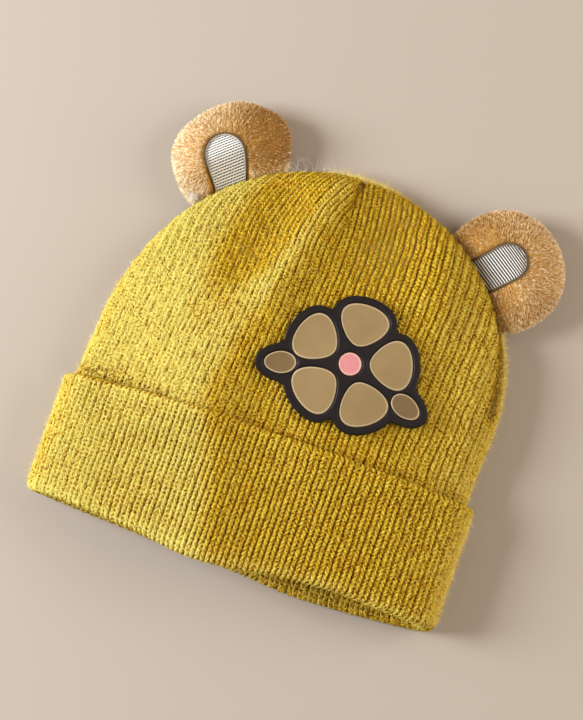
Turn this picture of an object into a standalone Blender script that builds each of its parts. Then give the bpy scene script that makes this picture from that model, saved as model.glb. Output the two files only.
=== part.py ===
"""Knitted baby hat with two plush ears, lying on its back.

The front of the hat faces +Z, the crown points to +Y and the mouth opens to -Y.
Lengths are in metres. The hat is drawn in its own frame, whose origin is the middle
of the cuff's lower edge, and is then moved so that the origin is the bottom centre
of the box around all of the pieces.
"""

import math

import bpy
import numpy as np
from mathutils.geometry import delaunay_2d_cdt

# Knit
RIBS = 76
WALL = 0.0024
CUFF_RIB_RELIEF = 0.00050
CROWN_RIB_RELIEF = 0.00038
HALF_WIDTH = 0.0926
FOLD_RADIUS = 0.0052
DOME_START = 0.0862
DOME_HEIGHT = 0.0957
HAT_HEIGHT = DOME_START + DOME_HEIGHT
DOME_TILT = math.radians(30.0)
DOME_TILT_END = math.radians(60.0)
CROWN_LEAN = 0.0043
CROWN_LIFT = 0.00015
PUFF = 0.0215
SLOPE_ACROSS = 0.16

# Cuff
CUFF_HEIGHT = 0.0572
CUFF_GAP = 0.0006
CUFF_OUT = CUFF_GAP + WALL
CUFF_SPREAD = 0.0014
CUFF_SPREAD_FADE = 0.018
SHOULDER = 0.016
HAIRPIN_RISE = 0.0038
HAIRPIN_HEIGHT = WALL + CUFF_GAP / 2 + HAIRPIN_RISE
CROWN_LAP = 0.003
FRONT_LIP_DIP = 0.0052
BACK_LIP_DIP = 0.0080
LIP_FADE = 0.018

# Ears
EAR_RADIUS = 0.0283
EAR_STANDS_OUT = 0.0102
EAR_RIM_HEIGHT = 0.0082
EAR_TOP = 0.0125
EAR_FLOOR_GAP = 0.0002
EAR_DISH = 0.0026
EAR_GAP = 0.0004
INSERT_HALF_WIDTH = 0.0092
INSERT_THICKNESS = 0.0012
INSERT_CLEARANCE = 0.0013
INSERT_CROWN_GAP = 0.0010

# Patch
PATCH_ASIDE = 0.0189
PATCH_ABOVE_CUFF = 0.0097
PATCH_GAP = 0.0008
BASE_THICKNESS = 0.0008
FILL_THICKNESS = 0.0011
FILL_GAP = 0.0004
PETALS = 5
CENTRE_RADIUS = 0.0052
PETAL_RADIAL = 0.0098
PETAL_EGG = 0.34
LEAF_LENGTH = 0.0068
LEAF_ACROSS = 0.0050
RIDGE_WIDTH = 0.0033
OUTLINE_WIDTH = 0.0035
PETAL_DISTANCE = CENTRE_RADIUS + RIDGE_WIDTH + PETAL_RADIAL
PETAL_ACROSS = PETAL_DISTANCE * math.tan(math.pi / PETALS) - 0.8 * RIDGE_WIDTH
LEAF_DISTANCE = PETAL_DISTANCE + 0.2 * PETAL_RADIAL + RIDGE_WIDTH + LEAF_LENGTH
PATCH_RADIUS = PETAL_DISTANCE + PETAL_RADIAL + OUTLINE_WIDTH
PATCH_CENTRE = (CROWN_LEAN + PATCH_ASIDE, CUFF_HEIGHT + PATCH_ABOVE_CUFF + PATCH_RADIUS)
PATCH_FLOOR = PATCH_GAP + BASE_THICKNESS
PATCH_TOP = PATCH_FLOOR + FILL_GAP + FILL_THICKNESS

# Ear: place round the dome in degrees, insert's foot round the dome in degrees,
# direction of the insert in degrees, length of the insert as a share of EAR_RADIUS.
EARS = {
    "left": (126.4, 129.6, 113.5, 0.82),
    "right": (46.0, 48.1, 52.1, 0.90),
}

# Each ear's own flopped outline: direction in degrees, share of EAR_RADIUS.
EAR_OUTLINES = {
    "left": (
        (0, 0.89),
        (24, 0.92),
        (42, 1.01),
        (57, 1.04),
        (83, 0.97),
        (102, 0.945),
        (130, 0.90),
        (156, 0.92),
        (176, 0.98),
        (190, 1.01),
        (214, 0.99),
        (240, 1.00),
        (300, 0.95),
        (360, 0.89),
    ),
    "right": (
        (0, 1.01),
        (50, 1.02),
        (75, 1.045),
        (100, 1.055),
        (125, 1.02),
        (150, 1.00),
        (200, 1.00),
        (280, 0.95),
        (305, 0.965),
        (335, 0.985),
        (360, 1.01),
    ),
}

# Soft forms of the front: start x, start y, end x, end y, half-width, height.
# x and half-width are shares of HALF_WIDTH, y of HAT_HEIGHT and height of PUFF.
FOLDS = (
    (-0.292, -0.022, -0.292, 0.577, 0.130, 0.186),
    (-0.259, 0.660, -0.097, 0.946, 0.092, 0.233),
    (-0.367, 0.880, -0.416, 0.638, 0.086, -0.195),
    (0.245, 0.869, 0.194, 0.748, 0.130, -0.140),
    (0.514, 0.880, 0.594, 0.737, 0.108, 0.121),
    (0.686, 0.825, 0.734, 0.704, 0.076, -0.074),
    (-0.562, 0.385, -0.540, 0.605, 0.140, 0.140),
    (-0.756, 0.308, -0.734, 0.407, 0.086, -0.074),
)

# Height of the front above the side folds: share of HAT_HEIGHT, share of PUFF.
PUFF_SHARE = (
    (-0.055, 0.78),
    (0.165, 0.84),
    (0.330, 0.93),
    (0.440, 1.06),
    (0.660, 1.10),
    (0.990, 1.10),
)

# Droop of the cuff's lower edge: x as a share of HALF_WIDTH, share of the lip's dip.
FRONT_LIP = (
    (-1.037, 0.19),
    (-0.691, 0.37),
    (-0.454, 0.56),
    (-0.205, 1.00),
    (0.022, 0.79),
    (0.238, 0.29),
    (0.432, 0.06),
    (0.788, 0.15),
    (1.037, 0.37),
)
BACK_LIP = (
    (-1.037, 0.23),
    (-0.583, 0.50),
    (-0.205, 0.73),
    (0.065, 0.80),
    (0.302, 1.00),
    (0.529, 0.95),
    (0.767, 0.75),
    (1.037, 0.45),
)

# Piece colour: red, green, blue (linear) and roughness.
COLOURS = {
    "knit": (0.60, 0.36, 0.045, 0.92),
    "plush": (0.50, 0.27, 0.11, 0.96),
    "insert": (0.62, 0.57, 0.50, 0.85),
    "rubber_dark": (0.018, 0.014, 0.017, 0.55),
    "rubber_tan": (0.39, 0.26, 0.115, 0.60),
    "rubber_taupe": (0.24, 0.155, 0.068, 0.60),
    "rubber_pink": (0.78, 0.32, 0.32, 0.60),
}


def smooth(value):
    """Zero below 0, one above 1 and an even S between."""
    value = np.clip(value, 0.0, 1.0)
    return value * value * (3.0 - 2.0 * value)


def curve(value, rows):
    """A smooth line through the rows of a two-column table, level beyond its ends."""
    knots, heights = np.array(rows, float).T
    slopes = np.gradient(heights, knots)
    value = np.clip(value, knots[0], knots[-1])
    place = np.clip(np.searchsorted(knots, value) - 1, 0, len(knots) - 2)
    step = knots[place + 1] - knots[place]
    share = (value - knots[place]) / step
    rise = heights[place + 1] - heights[place]
    bend = (slopes[place] * step - rise) * (1.0 - share)
    bend = bend - (slopes[place + 1] * step - rise) * share
    return heights[place] + rise * share + share * (1.0 - share) * bend


def middle_x(y):
    """The crown leans a little to the right above the cuff."""
    return CROWN_LEAN * smooth(2.0 * y / HAT_HEIGHT - 0.5)


def half_width(y):
    """Half of the flat width: the cuff is a little stretched."""
    return HALF_WIDTH + CUFF_SPREAD * smooth((CUFF_HEIGHT - y) / CUFF_SPREAD_FADE + 0.6)


def middle_z(y):
    """Height of the side folds: the hat lies on its cuff, whose two layers lift them."""
    crown = FOLD_RADIUS + CROWN_RIB_RELIEF + CROWN_LIFT
    cuff = FOLD_RADIUS + CUFF_OUT + CUFF_RIB_RELIEF
    return cuff + (crown - cuff) * smooth((y - CUFF_HEIGHT) / SHOULDER)


def depth_at(x, y):
    """Zero at the hat's outline in plan and one along the middle."""
    across = (x - middle_x(y)) / half_width(y)
    up = np.maximum(y - DOME_START, 0.0) / DOME_HEIGHT
    return np.sqrt(np.clip(1.0 - across**2 - up**2, 0.0, 1.0))


def puff(x, y):
    """Height of the front above the side folds: a dome plus its ridges and hollows."""
    depth = depth_at(x, y)
    height = PUFF * curve(y / HAT_HEIGHT, PUFF_SHARE) * depth**1.55
    height = height * (1.0 - SLOPE_ACROSS * (x - middle_x(y)) / HALF_WIDTH)
    for x0, y0, x1, y1, wide, rise in FOLDS:
        run, climb = (x1 - x0) * HALF_WIDTH, (y1 - y0) * HAT_HEIGHT
        from_x, from_y = x - x0 * HALF_WIDTH, y - y0 * HAT_HEIGHT
        share = np.clip((from_x * run + from_y * climb) / (run**2 + climb**2), 0.0, 1.0)
        away = np.hypot(from_x - share * run, from_y - share * climb) / (wide * HALF_WIDTH)
        height = height + PUFF * rise * np.exp(-(away**2) / 2.0) * smooth(depth / 0.5)
    return height


def front_height(x, y):
    """Top of the crown's front, measured over the ribs."""
    return middle_z(y) + FOLD_RADIUS + CROWN_RIB_RELIEF + puff(x, y)


def fabric(angle, level, offset):
    """A point of the knit.

    angle runs once round the tube: 0 is the left fold, pi/2 the front, pi the right
    fold. level is the distance up the tube, and beyond DOME_START the angle up the
    dome times DOME_HEIGHT. offset is the distance outside the crown's outer face.
    The dome is turned backwards, so the ribs of the front run over its top edge.
    """
    angle, level, offset = np.broadcast_arrays(angle, level, offset)
    climb = np.maximum(level - DOME_START, 0.0) / DOME_HEIGHT
    ring = np.cos(climb)
    tilt = DOME_TILT * smooth(climb / DOME_TILT_END)
    across = -np.cos(angle) * ring
    front = np.sin(angle) * ring
    depth = front * np.cos(tilt) - np.sin(climb) * np.sin(tilt)
    up = front * np.sin(tilt) + np.sin(climb) * np.cos(tilt)
    y = np.minimum(level, DOME_START) + (DOME_HEIGHT + offset) * up
    x = middle_x(y) + (half_width(y) + offset) * across
    radius = FOLD_RADIUS + offset
    turn = np.clip(np.sqrt(HALF_WIDTH / radius) * depth, -math.pi / 2, math.pi / 2)
    side = np.sin(turn)
    inside_x = middle_x(y) + half_width(y) * across
    inside_y = np.minimum(level, DOME_START) + DOME_HEIGHT * up
    raised = np.where(depth > 0.0, puff(inside_x, inside_y), 0.0)
    z = middle_z(y) + radius * side + raised
    facing = 0.5 + 0.5 * side
    droop = facing * FRONT_LIP_DIP * curve(x / HALF_WIDTH, FRONT_LIP)
    droop = droop + (1.0 - facing) * BACK_LIP_DIP * curve(x / HALF_WIDTH, BACK_LIP)
    y = y - droop * np.exp(-np.maximum(y, 0.0) / LIP_FADE)
    return np.stack([x, y, z], axis=-1)


def even_angles(count):
    """Angles that lie evenly along the cloth round the cuff, the first at the left fold."""
    dense = np.linspace(0.0, 2.0 * math.pi, 2401)
    ring = fabric(dense, CUFF_HEIGHT / 2, 0.0)
    length = np.concatenate([[0.0], np.cumsum(np.linalg.norm(np.diff(ring, axis=0), axis=1))])
    wanted = np.arange(count) * length[-1] / count
    return np.interp(wanted, length, dense)


def even_levels(angles, shares, offset):
    """Levels that lie evenly up each rib from the cuff's edge to the pole, closer at folds."""
    pole = DOME_START + DOME_HEIGHT * math.pi / 2
    dense = np.linspace(CUFF_HEIGHT - CROWN_LAP, pole, 600)
    lines = fabric(angles[None, :], dense[:, None], offset)
    steps = np.diff(lines, axis=0)
    long = np.linalg.norm(steps, axis=2)
    ahead = steps / np.maximum(long, 1e-9)[..., None]
    turned = np.linalg.norm(np.diff(ahead, axis=0, append=ahead[-1:]), axis=2)
    turned[-20:] = 0.0
    cost = long + 0.22 * HALF_WIDTH * turned
    length = np.vstack([np.zeros(len(angles)), np.cumsum(cost, axis=0)])
    levels = np.empty((len(shares), len(angles)))
    for column in range(len(angles)):
        wanted = np.asarray(shares) * length[-1, column]
        levels[:, column] = np.interp(wanted, length[:, column], dense)
    return levels


def rib_relief(angles, levels, amount):
    """Offsets of rib tops and furrows, level where the back of the crown is pressed flat."""
    ribs = np.where(np.arange(len(angles)) % 2 == 0, 1.0, -1.0)
    points = fabric(angles[None, :], levels, 0.0)
    low = smooth((-np.sin(angles)[None, :] - 0.3) / 0.3)
    middle = smooth(1.6 - np.abs(points[..., 0]) / (0.43 * HALF_WIDTH))
    up = np.abs(points[..., 1] / HAT_HEIGHT - 0.632) / 0.165
    pressed = low * middle * smooth(1.6 - up)
    return amount * (ribs * (1.0 - pressed) + pressed)


def rings_of_knit():
    """The rings of the hat's closed skin, from the outer pole round the lip to the inner pole."""
    fine = even_angles(2 * RIBS)
    coarse = fine[::2]
    rings = []

    shares = (0.0, 0.045, 0.13, 0.22, 0.31, 0.40, 0.49, 0.575, 0.655, 0.73, 0.80, 0.865)
    crown = even_levels(fine, shares, 0.0)
    relief = rib_relief(fine, crown, CROWN_RIB_RELIEF)
    near_pole = even_levels(coarse, (0.93, 0.975), 0.0)
    rings += [fabric(coarse, level, 0.0) for level in near_pole[::-1]]
    rings += [fabric(fine, level, bump) for level, bump in zip(crown[::-1], relief[::-1])]

    for level in (0.84 * CUFF_HEIGHT, 0.45 * CUFF_HEIGHT, HAIRPIN_HEIGHT):
        rings.append(fabric(coarse, level, 0.0))
    for level in (HAIRPIN_HEIGHT, 0.52 * CUFF_HEIGHT, CUFF_HEIGHT - WALL / 2):
        rings.append(fabric(coarse, level, CUFF_GAP))

    bumps = np.where(np.arange(len(fine)) % 2 == 0, 1.0, -1.0) * CUFF_RIB_RELIEF
    rings.append(fabric(fine, CUFF_HEIGHT, CUFF_GAP + 0.35 * WALL))
    rings.append(fabric(fine, CUFF_HEIGHT - WALL / 6, CUFF_GAP + 0.80 * WALL + 0.6 * bumps))
    rings.append(fabric(fine, CUFF_HEIGHT - 1.25 * WALL, CUFF_OUT + bumps))
    for share in (0.70, 0.385):
        rings.append(fabric(fine, share * CUFF_HEIGHT, CUFF_OUT + bumps))
    rings.append(fabric(fine, 2.1 * WALL, CUFF_OUT + bumps))

    bend = WALL + CUFF_GAP / 2
    for turn, share in ((50.0, 0.6), (90.0, 0.0)):
        angle = math.radians(turn)
        level = bend * (1.0 - math.sin(angle))
        rings.append(fabric(fine, level, CUFF_GAP / 2 + bend * math.cos(angle) + share * bumps))
    level = bend * (1.0 - math.sin(math.radians(140.0)))
    rings.append(fabric(coarse, level, CUFF_GAP / 2 + bend * math.cos(math.radians(140.0))))

    for level in (HAIRPIN_HEIGHT, 0.52 * CUFF_HEIGHT, CUFF_HEIGHT - CROWN_LAP):
        rings.append(fabric(coarse, level, -WALL))
    inner = even_levels(coarse, (0.15, 0.30, 0.44, 0.57, 0.69, 0.80, 0.90, 0.965), -WALL)
    rings += [fabric(coarse, level, -WALL) for level in inner]
    return rings


def strip(first, second, first_count, second_count):
    """Faces between two closed rings whose point counts are equal or differ twofold."""
    faces = []
    if first_count == second_count:
        for k in range(first_count):
            after = (k + 1) % first_count
            faces.append((first + k, second + k, second + after, first + after))
        return faces
    if first_count > second_count:
        for k in range(second_count):
            after = (k + 1) % second_count
            half = first + 2 * k + 1
            faces.append((first + 2 * k, second + k, half))
            faces.append((half, second + after, first + 2 * after))
            faces.append((half, second + k, second + after))
        return faces
    for k in range(first_count):
        after = (k + 1) % first_count
        half = second + 2 * k + 1
        faces.append((first + k, second + 2 * k, half))
        faces.append((first + after, half, second + 2 * after))
        faces.append((first + k, half, first + after))
    return faces


def closed_rings(rings, start, end):
    """One closed mesh from rings of points with a point at each end."""
    points = [np.asarray(start)[None, :]]
    faces = []
    begin = 1
    count = len(rings[0])
    faces += [(0, begin + k, begin + (k + 1) % count) for k in range(count)]
    for index, ring in enumerate(rings):
        points.append(ring)
        if index + 1 < len(rings):
            after = begin + len(ring)
            faces += strip(begin, after, len(ring), len(rings[index + 1]))
            begin = after
    last = begin + len(rings[-1])
    count = len(rings[-1])
    faces += [(last, begin + (k + 1) % count, begin + k) for k in range(count)]
    points.append(np.asarray(end)[None, :])
    return np.concatenate(points), faces


def knit_body():
    """Crown and turned-up cuff as one hollow knitted tube."""
    pole = DOME_START + DOME_HEIGHT * math.pi / 2
    start = fabric(0.0, pole, 0.0)
    end = fabric(0.0, pole, -WALL)
    return closed_rings(rings_of_knit(), start, end)


def round_dome(degrees, stands_out):
    """The plan point that stands out from the crown's edge at an angle round the dome."""
    turn = math.radians(degrees)
    x = CROWN_LEAN + (HALF_WIDTH + stands_out) * math.cos(turn)
    y = DOME_START + (DOME_HEIGHT + stands_out) * math.sin(turn)
    return x, y


def ear_centre(side):
    """Plan point of an ear's middle."""
    return round_dome(EARS[side][0], EAR_STANDS_OUT)


def insert_line(side):
    """Foot, unit direction and length of an insert's middle line in plan."""
    _, foot, direction, share = EARS[side]
    turn = math.radians(direction)
    return round_dome(foot, EAR_GAP), (math.cos(turn), math.sin(turn)), share * EAR_RADIUS


def ear_radius(side, angles):
    """Distance from an ear's middle to its rim in each direction."""
    return EAR_RADIUS * curve(np.degrees(angles) % 360.0, EAR_OUTLINES[side])


def ear_reach(side, angles):
    """Distance from the ear's middle to its rim, or to the crown where that is nearer."""
    centre = ear_centre(side)
    rim = ear_radius(side, angles)
    grow = CROWN_RIB_RELIEF + EAR_GAP
    wide, tall = HALF_WIDTH + grow, DOME_HEIGHT + grow
    x = (centre[0] - CROWN_LEAN) / wide
    y = (centre[1] - DOME_START) / tall
    dx, dy = np.cos(angles) / wide, np.sin(angles) / tall
    a, b, c = dx**2 + dy**2, x * dx + y * dy, x**2 + y**2 - 1.0
    root = b**2 - a * c
    hit = (-b - np.sqrt(np.maximum(root, 0.0))) / a
    meets = (root > 0.0) & (hit > 0.0)
    return np.where(meets, np.minimum(hit, rim), rim)


def ear_angles(side, free_count, cut_count):
    """Directions from an ear's middle that include both corners where it meets the crown."""
    dense = np.linspace(0.0, 2.0 * math.pi, 1440, endpoint=False)
    cut = ear_reach(side, dense) < ear_radius(side, dense) - 1e-9
    first = int(np.flatnonzero(cut & ~np.roll(cut, 1))[0])
    last = int(np.flatnonzero(cut & ~np.roll(cut, -1))[0])
    start, end = dense[first], dense[last]
    end = end if end > start else end + 2.0 * math.pi
    along_cut = np.linspace(start, end, cut_count, endpoint=False)
    along_rim = np.linspace(end, start + 2.0 * math.pi, free_count, endpoint=False)
    return np.concatenate([along_cut, along_rim])


def crown_distance(x, y):
    """Distance outside the crown's outline in plan."""
    across = (x - CROWN_LEAN) / HALF_WIDTH
    up = (y - DOME_START) / DOME_HEIGHT
    return (np.sqrt(across**2 + up**2) - 1.0) * 0.5 * (HALF_WIDTH + DOME_HEIGHT)


def insert_distance(side, x, y):
    """Distance outside an insert's outline, a straight strip with a round tip."""
    foot, ahead, length = insert_line(side)
    along = (x - foot[0]) * ahead[0] + (y - foot[1]) * ahead[1]
    away = np.abs((x - foot[0]) * ahead[1] - (y - foot[1]) * ahead[0])
    beyond = np.maximum(along - (length - INSERT_HALF_WIDTH), 0.0)
    return np.sqrt(beyond**2 + away**2) - INSERT_HALF_WIDTH


def rim_share(side, x, y):
    """Zero at an ear's middle and one at its rim."""
    centre = ear_centre(side)
    away_x, away_y = x - centre[0], y - centre[1]
    return np.hypot(away_x, away_y) / ear_radius(side, np.arctan2(away_y, away_x))


def ear_top(side, x, y):
    """Front face of an ear: a cushion, pinched at the crown and dished under the insert."""
    cushion = np.clip(1.0 - rim_share(side, x, y) ** 2.4, 0.0, 1.0) ** 0.55
    pinch = 0.30 + 0.70 * smooth(crown_distance(x, y) / (0.60 * EAR_RADIUS) + 0.06)
    edge = insert_distance(side, x, y) / (0.38 * INSERT_HALF_WIDTH)
    dish = EAR_DISH * (1.0 - smooth(edge + 0.3))
    return EAR_RIM_HEIGHT + EAR_TOP * cushion * pinch - dish * smooth(cushion / 0.5)


def ear_base(side, x, y):
    """Back face of an ear, level on the floor except near its rim."""
    cushion = np.clip(1.0 - rim_share(side, x, y) ** 4.0, 0.0, 1.0) ** 0.5
    pinch = 0.55 + 0.45 * smooth(crown_distance(x, y) / (0.42 * EAR_RADIUS))
    return EAR_RIM_HEIGHT - (EAR_RIM_HEIGHT - EAR_FLOOR_GAP) * cushion * pinch


def ear(side):
    """A stuffed plush disc cut off along the crown's edge."""
    centre = ear_centre(side)
    angles = ear_angles(side, 22, 10)
    reach = ear_reach(side, angles)
    free = reach > ear_radius(side, angles) - 1e-9
    rings = []
    for share in (0.22, 0.42, 0.60, 0.76, 0.90, 0.975):
        distance = reach * np.where(free | (share < 0.9), share, 1.0 - (1.0 - share) * 0.3)
        x = centre[0] + distance * np.cos(angles)
        y = centre[1] + distance * np.sin(angles)
        rings.append(np.stack([x, y, ear_top(side, x, y)], axis=-1))
    x = centre[0] + reach * np.cos(angles)
    y = centre[1] + reach * np.sin(angles)
    rings.append(np.stack([x, y, np.full_like(x, EAR_RIM_HEIGHT)], axis=-1))
    for share in (0.96, 0.80, 0.40):
        distance = reach * np.where(free | (share < 0.9), share, 0.99)
        x = centre[0] + distance * np.cos(angles)
        y = centre[1] + distance * np.sin(angles)
        rings.append(np.stack([x, y, ear_base(side, x, y)], axis=-1))
    middle = np.array(centre)
    start = [*centre, float(ear_top(side, *middle))]
    end = [*centre, float(ear_base(side, *middle))]
    return closed_rings(rings, start, end)


def insert_grid(side, rows, columns):
    """Plan points of an insert: rows from the crown's edge to the round tip."""
    foot, ahead, length = insert_line(side)
    across = np.linspace(-1.0, 1.0, columns)
    plan = np.empty((rows, columns, 2))
    for row, share in enumerate(np.linspace(0.0, 1.0, rows)):
        turn = math.radians(82.0) * max(share - 0.45, 0.0) / 0.55
        straight = (length - INSERT_HALF_WIDTH) * min(share / 0.45, 1.0)
        along = straight + INSERT_HALF_WIDTH * math.sin(turn)
        half = INSERT_HALF_WIDTH * math.cos(turn) * (0.90 + 0.10 * min(share / 0.3, 1.0))
        plan[row, :, 0] = foot[0] + along * ahead[0] + across * half * ahead[1]
        plan[row, :, 1] = foot[1] + along * ahead[1] - across * half * ahead[0]
    return plan


def clear_of_crown(plan, gap):
    """Moves plan points that lie over the crown out to its edge."""
    short = np.maximum(gap - crown_distance(plan[..., 0], plan[..., 1]), 0.0)
    away_x = (plan[..., 0] - CROWN_LEAN) / HALF_WIDTH
    away_y = (plan[..., 1] - DOME_START) / DOME_HEIGHT
    size = np.hypot(away_x, away_y)
    return plan + np.stack([short * away_x / size, short * away_y / size], axis=-1)


def ear_insert(side):
    """The woven insert: a thin sheet that follows the dish of its ear."""
    plan = clear_of_crown(insert_grid(side, 9, 7), CROWN_RIB_RELIEF + INSERT_CROWN_GAP)
    low = ear_top(side, plan[..., 0], plan[..., 1]) + INSERT_CLEARANCE
    edge = np.zeros(plan.shape[:2])
    edge[1:-1, 1:-1] = 1.0
    high = low + INSERT_THICKNESS * (0.7 + 0.3 * edge)
    return slab_of_grid(plan, low, high)


def slab_of_grid(plan, low, high):
    """A closed slab from a grid of plan points with a lower and an upper height."""
    rows, columns = plan.shape[:2]
    lower = np.concatenate([plan, low[..., None]], axis=-1).reshape(-1, 3)
    upper = np.concatenate([plan, high[..., None]], axis=-1).reshape(-1, 3)
    index = np.arange(rows * columns).reshape(rows, columns)
    above = index + rows * columns
    faces = []
    for row in range(rows - 1):
        for column in range(columns - 1):
            a, b = index[row, column], index[row, column + 1]
            c, d = index[row + 1, column + 1], index[row + 1, column]
            shift = rows * columns
            faces.append((a, d, c, b))
            faces.append((a + shift, b + shift, c + shift, d + shift))
    rim = [*index[0, :], *index[1:, -1], *index[-1, -2::-1], *index[-2:0:-1, 0]]
    top = [*above[0, :], *above[1:, -1], *above[-1, -2::-1], *above[-2:0:-1, 0]]
    for k in range(len(rim)):
        after = (k + 1) % len(rim)
        faces.append((rim[k], rim[after], top[after], top[k]))
    faces = [tuple(int(point) for point in face) for face in faces]
    return np.concatenate([lower, upper]), faces


def oval(distance, direction, along, across, count, grow, egg=0.0):
    """An oval round a point that lies at a distance and direction from the patch's centre.

    egg widens the end that faces away from the patch's centre.
    """
    turns = np.arange(count) * 2.0 * math.pi / count
    local_x = distance + (along + grow) * np.cos(turns)
    local_y = (across * (1.0 + egg * np.cos(turns)) + grow) * np.sin(turns)
    cos, sin = math.cos(direction), math.sin(direction)
    x = PATCH_CENTRE[0] + local_x * cos - local_y * sin
    y = PATCH_CENTRE[1] + local_x * sin + local_y * cos
    return np.stack([x, y], axis=-1)


def pointed(outline, distance, direction):
    """Draws the outer end of an oval out to a leaf's tip."""
    cos, sin = math.cos(direction), math.sin(direction)
    middle = np.array([PATCH_CENTRE[0] + distance * cos, PATCH_CENTRE[1] + distance * sin])
    away = outline - middle
    size = np.hypot(away[:, 0], away[:, 1])
    facing = (away[:, 0] * cos + away[:, 1] * sin) / size
    return middle + away * (1.0 + 0.16 * np.clip(facing, 0.0, 1.0) ** 6)[:, None]


def fills(grow, count):
    """Plan outlines of the patch's coloured fills, each enlarged by grow."""
    outlines = {}
    turn = 2.0 * math.pi / PETALS
    for number in range(PETALS):
        direction = math.pi / 2 + turn * number
        outlines[f"petal_{number + 1}"] = oval(
            PETAL_DISTANCE, direction, PETAL_RADIAL, PETAL_ACROSS, count, grow, PETAL_EGG
        )
    for number, place in enumerate((1.5, PETALS - 1.5)):
        direction = math.pi / 2 + turn * place
        leaf = oval(LEAF_DISTANCE, direction, LEAF_LENGTH, LEAF_ACROSS, count - 2, grow)
        outlines[f"leaf_{number + 1}"] = pointed(leaf, LEAF_DISTANCE, direction)
    outlines["flower_centre"] = oval(0.0, 0.0, CENTRE_RADIUS, CENTRE_RADIUS, count - 2, grow)
    return outlines


def patch_outline(count):
    """Outer edge of the patch: the farthest fill in each direction plus the outline."""
    dense = fills(OUTLINE_WIDTH, 160)
    turns = np.arange(count) * 2.0 * math.pi / count
    reach = np.zeros(count)
    for outline in dense.values():
        away = outline - np.array(PATCH_CENTRE)
        after = np.roll(away, -1, axis=0)
        for index, turn in enumerate(turns):
            ray = np.array([math.cos(turn), math.sin(turn)])
            side = away[:, 0] * ray[1] - away[:, 1] * ray[0]
            side_after = after[:, 0] * ray[1] - after[:, 1] * ray[0]
            crossing = side * side_after <= 0.0
            share = side[crossing] / (side[crossing] - side_after[crossing] + 1e-15)
            hits = away[crossing] + share[:, None] * (after[crossing] - away[crossing])
            reach[index] = max(reach[index], (hits @ ray).max(initial=0.0))
    soft = (np.roll(reach, 1) + 2.0 * reach + np.roll(reach, -1)) / 4.0
    ray = np.stack([np.cos(turns), np.sin(turns)], axis=-1)
    return np.array(PATCH_CENTRE) + soft[:, None] * ray


def layered_slab(outline, holes, low, high, floor):
    """A draped slab with flat-bottomed pockets.

    outline and holes are plan loops, anticlockwise. low, high and floor are heights
    above the crown of the slab's bottom, of its top and of the pockets' floors.
    """
    loops = [outline, *holes]
    plan, edges = [], []
    for loop in loops:
        start = len(plan)
        plan += [tuple(point) for point in loop]
        edges += [(start + k, start + (k + 1) % len(loop)) for k in range(len(loop))]
    inner = grid_inside(outline, holes, 0.87 * PETAL_RADIAL)
    plan += inner
    found, _, triangles, origin, _, _ = delaunay_2d_cdt(plan, edges, [], 1, 1e-9)
    flat = np.array([tuple(point) for point in found])
    count = len(flat)
    ground = front_height(flat[:, 0], flat[:, 1])
    points = [np.column_stack([flat, ground + low]), np.column_stack([flat, ground + high])]
    points.append(np.column_stack([flat, ground + floor]))
    faces = []
    for a, b, c in triangles:
        centre = flat[[a, b, c]].mean(axis=0)
        shift = 2 * count if any(inside(centre, hole) for hole in holes) else count
        faces.append((a, c, b))
        faces.append((a + shift, b + shift, c + shift))
    renamed = {}
    for index, sources in enumerate(origin):
        for source in sources:
            renamed[source] = index
    start = 0
    for number, loop in enumerate(loops):
        for k in range(len(loop)):
            a = renamed[start + k]
            b = renamed[start + (k + 1) % len(loop)]
            if number == 0:
                faces.append((a, b, b + count, a + count))
            else:
                faces.append((b + 2 * count, a + 2 * count, a + count, b + count))
        start += len(loop)
    return np.concatenate(points), faces


def grid_inside(outline, holes, pitch):
    """Grid points inside a loop that keep clear of its edge and of the holes' edges."""
    low, high = outline.min(axis=0), outline.max(axis=0)
    found = []
    for x in np.arange(low[0] + pitch / 2, high[0], pitch):
        for y in np.arange(low[1] + pitch / 2, high[1], pitch):
            point = np.array([x, y])
            near = min(np.hypot(*(loop - point).T).min() for loop in (outline, *holes))
            if near > 0.3 * pitch and inside(point, outline):
                found.append((x, y))
    return found


def inside(point, loop):
    """True when a plan point lies inside a closed loop."""
    a, b = loop, np.roll(loop, -1, axis=0)
    spans = (a[:, 1] > point[1]) != (b[:, 1] > point[1])
    rise = np.where(spans, b[:, 1] - a[:, 1], 1.0)
    crossing = a[:, 0] + (point[1] - a[:, 1]) * (b[:, 0] - a[:, 0]) / rise
    return bool(np.count_nonzero(spans & (point[0] < crossing)) % 2)


def patch_pieces():
    """The patch's dark base with its pockets, and the fills that lie in them."""
    holes = list(fills(FILL_GAP, 16).values())
    base = layered_slab(patch_outline(72), holes, PATCH_GAP, PATCH_TOP, PATCH_FLOOR)
    pieces = {"patch_base": base}
    low = PATCH_FLOOR + FILL_GAP
    for name, outline in fills(0.0, 16).items():
        pieces[name] = layered_slab(outline, [], low, low + FILL_THICKNESS, low)
    return pieces


def material(name, colour):
    """A plain Principled material for one piece, from the table of colours."""
    red, green, blue, roughness = COLOURS[colour]
    made = bpy.data.materials.new(name)
    made.use_nodes = True
    shader = made.node_tree.nodes["Principled BSDF"]
    shader.inputs["Base Color"].default_value = (red, green, blue, 1.0)
    shader.inputs["Roughness"].default_value = roughness
    made.diffuse_color = (red, green, blue, 1.0)
    return made


def add_object(name, points, faces, surface, shift):
    """Adds one closed mesh with its material, moved by shift."""
    used = sorted({int(point) for face in faces for point in face})
    renamed = {old: new for new, old in enumerate(used)}
    mesh = bpy.data.meshes.new(name)
    corners = [tuple(float(v) for v in points[old] + shift) for old in used]
    mesh.from_pydata(corners, [], [tuple(renamed[int(p)] for p in face) for face in faces])
    mesh.update()
    mesh.materials.append(surface)
    mesh.shade_smooth()
    obj = bpy.data.objects.new(name, mesh)
    bpy.context.scene.collection.objects.link(obj)
    return obj


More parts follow.
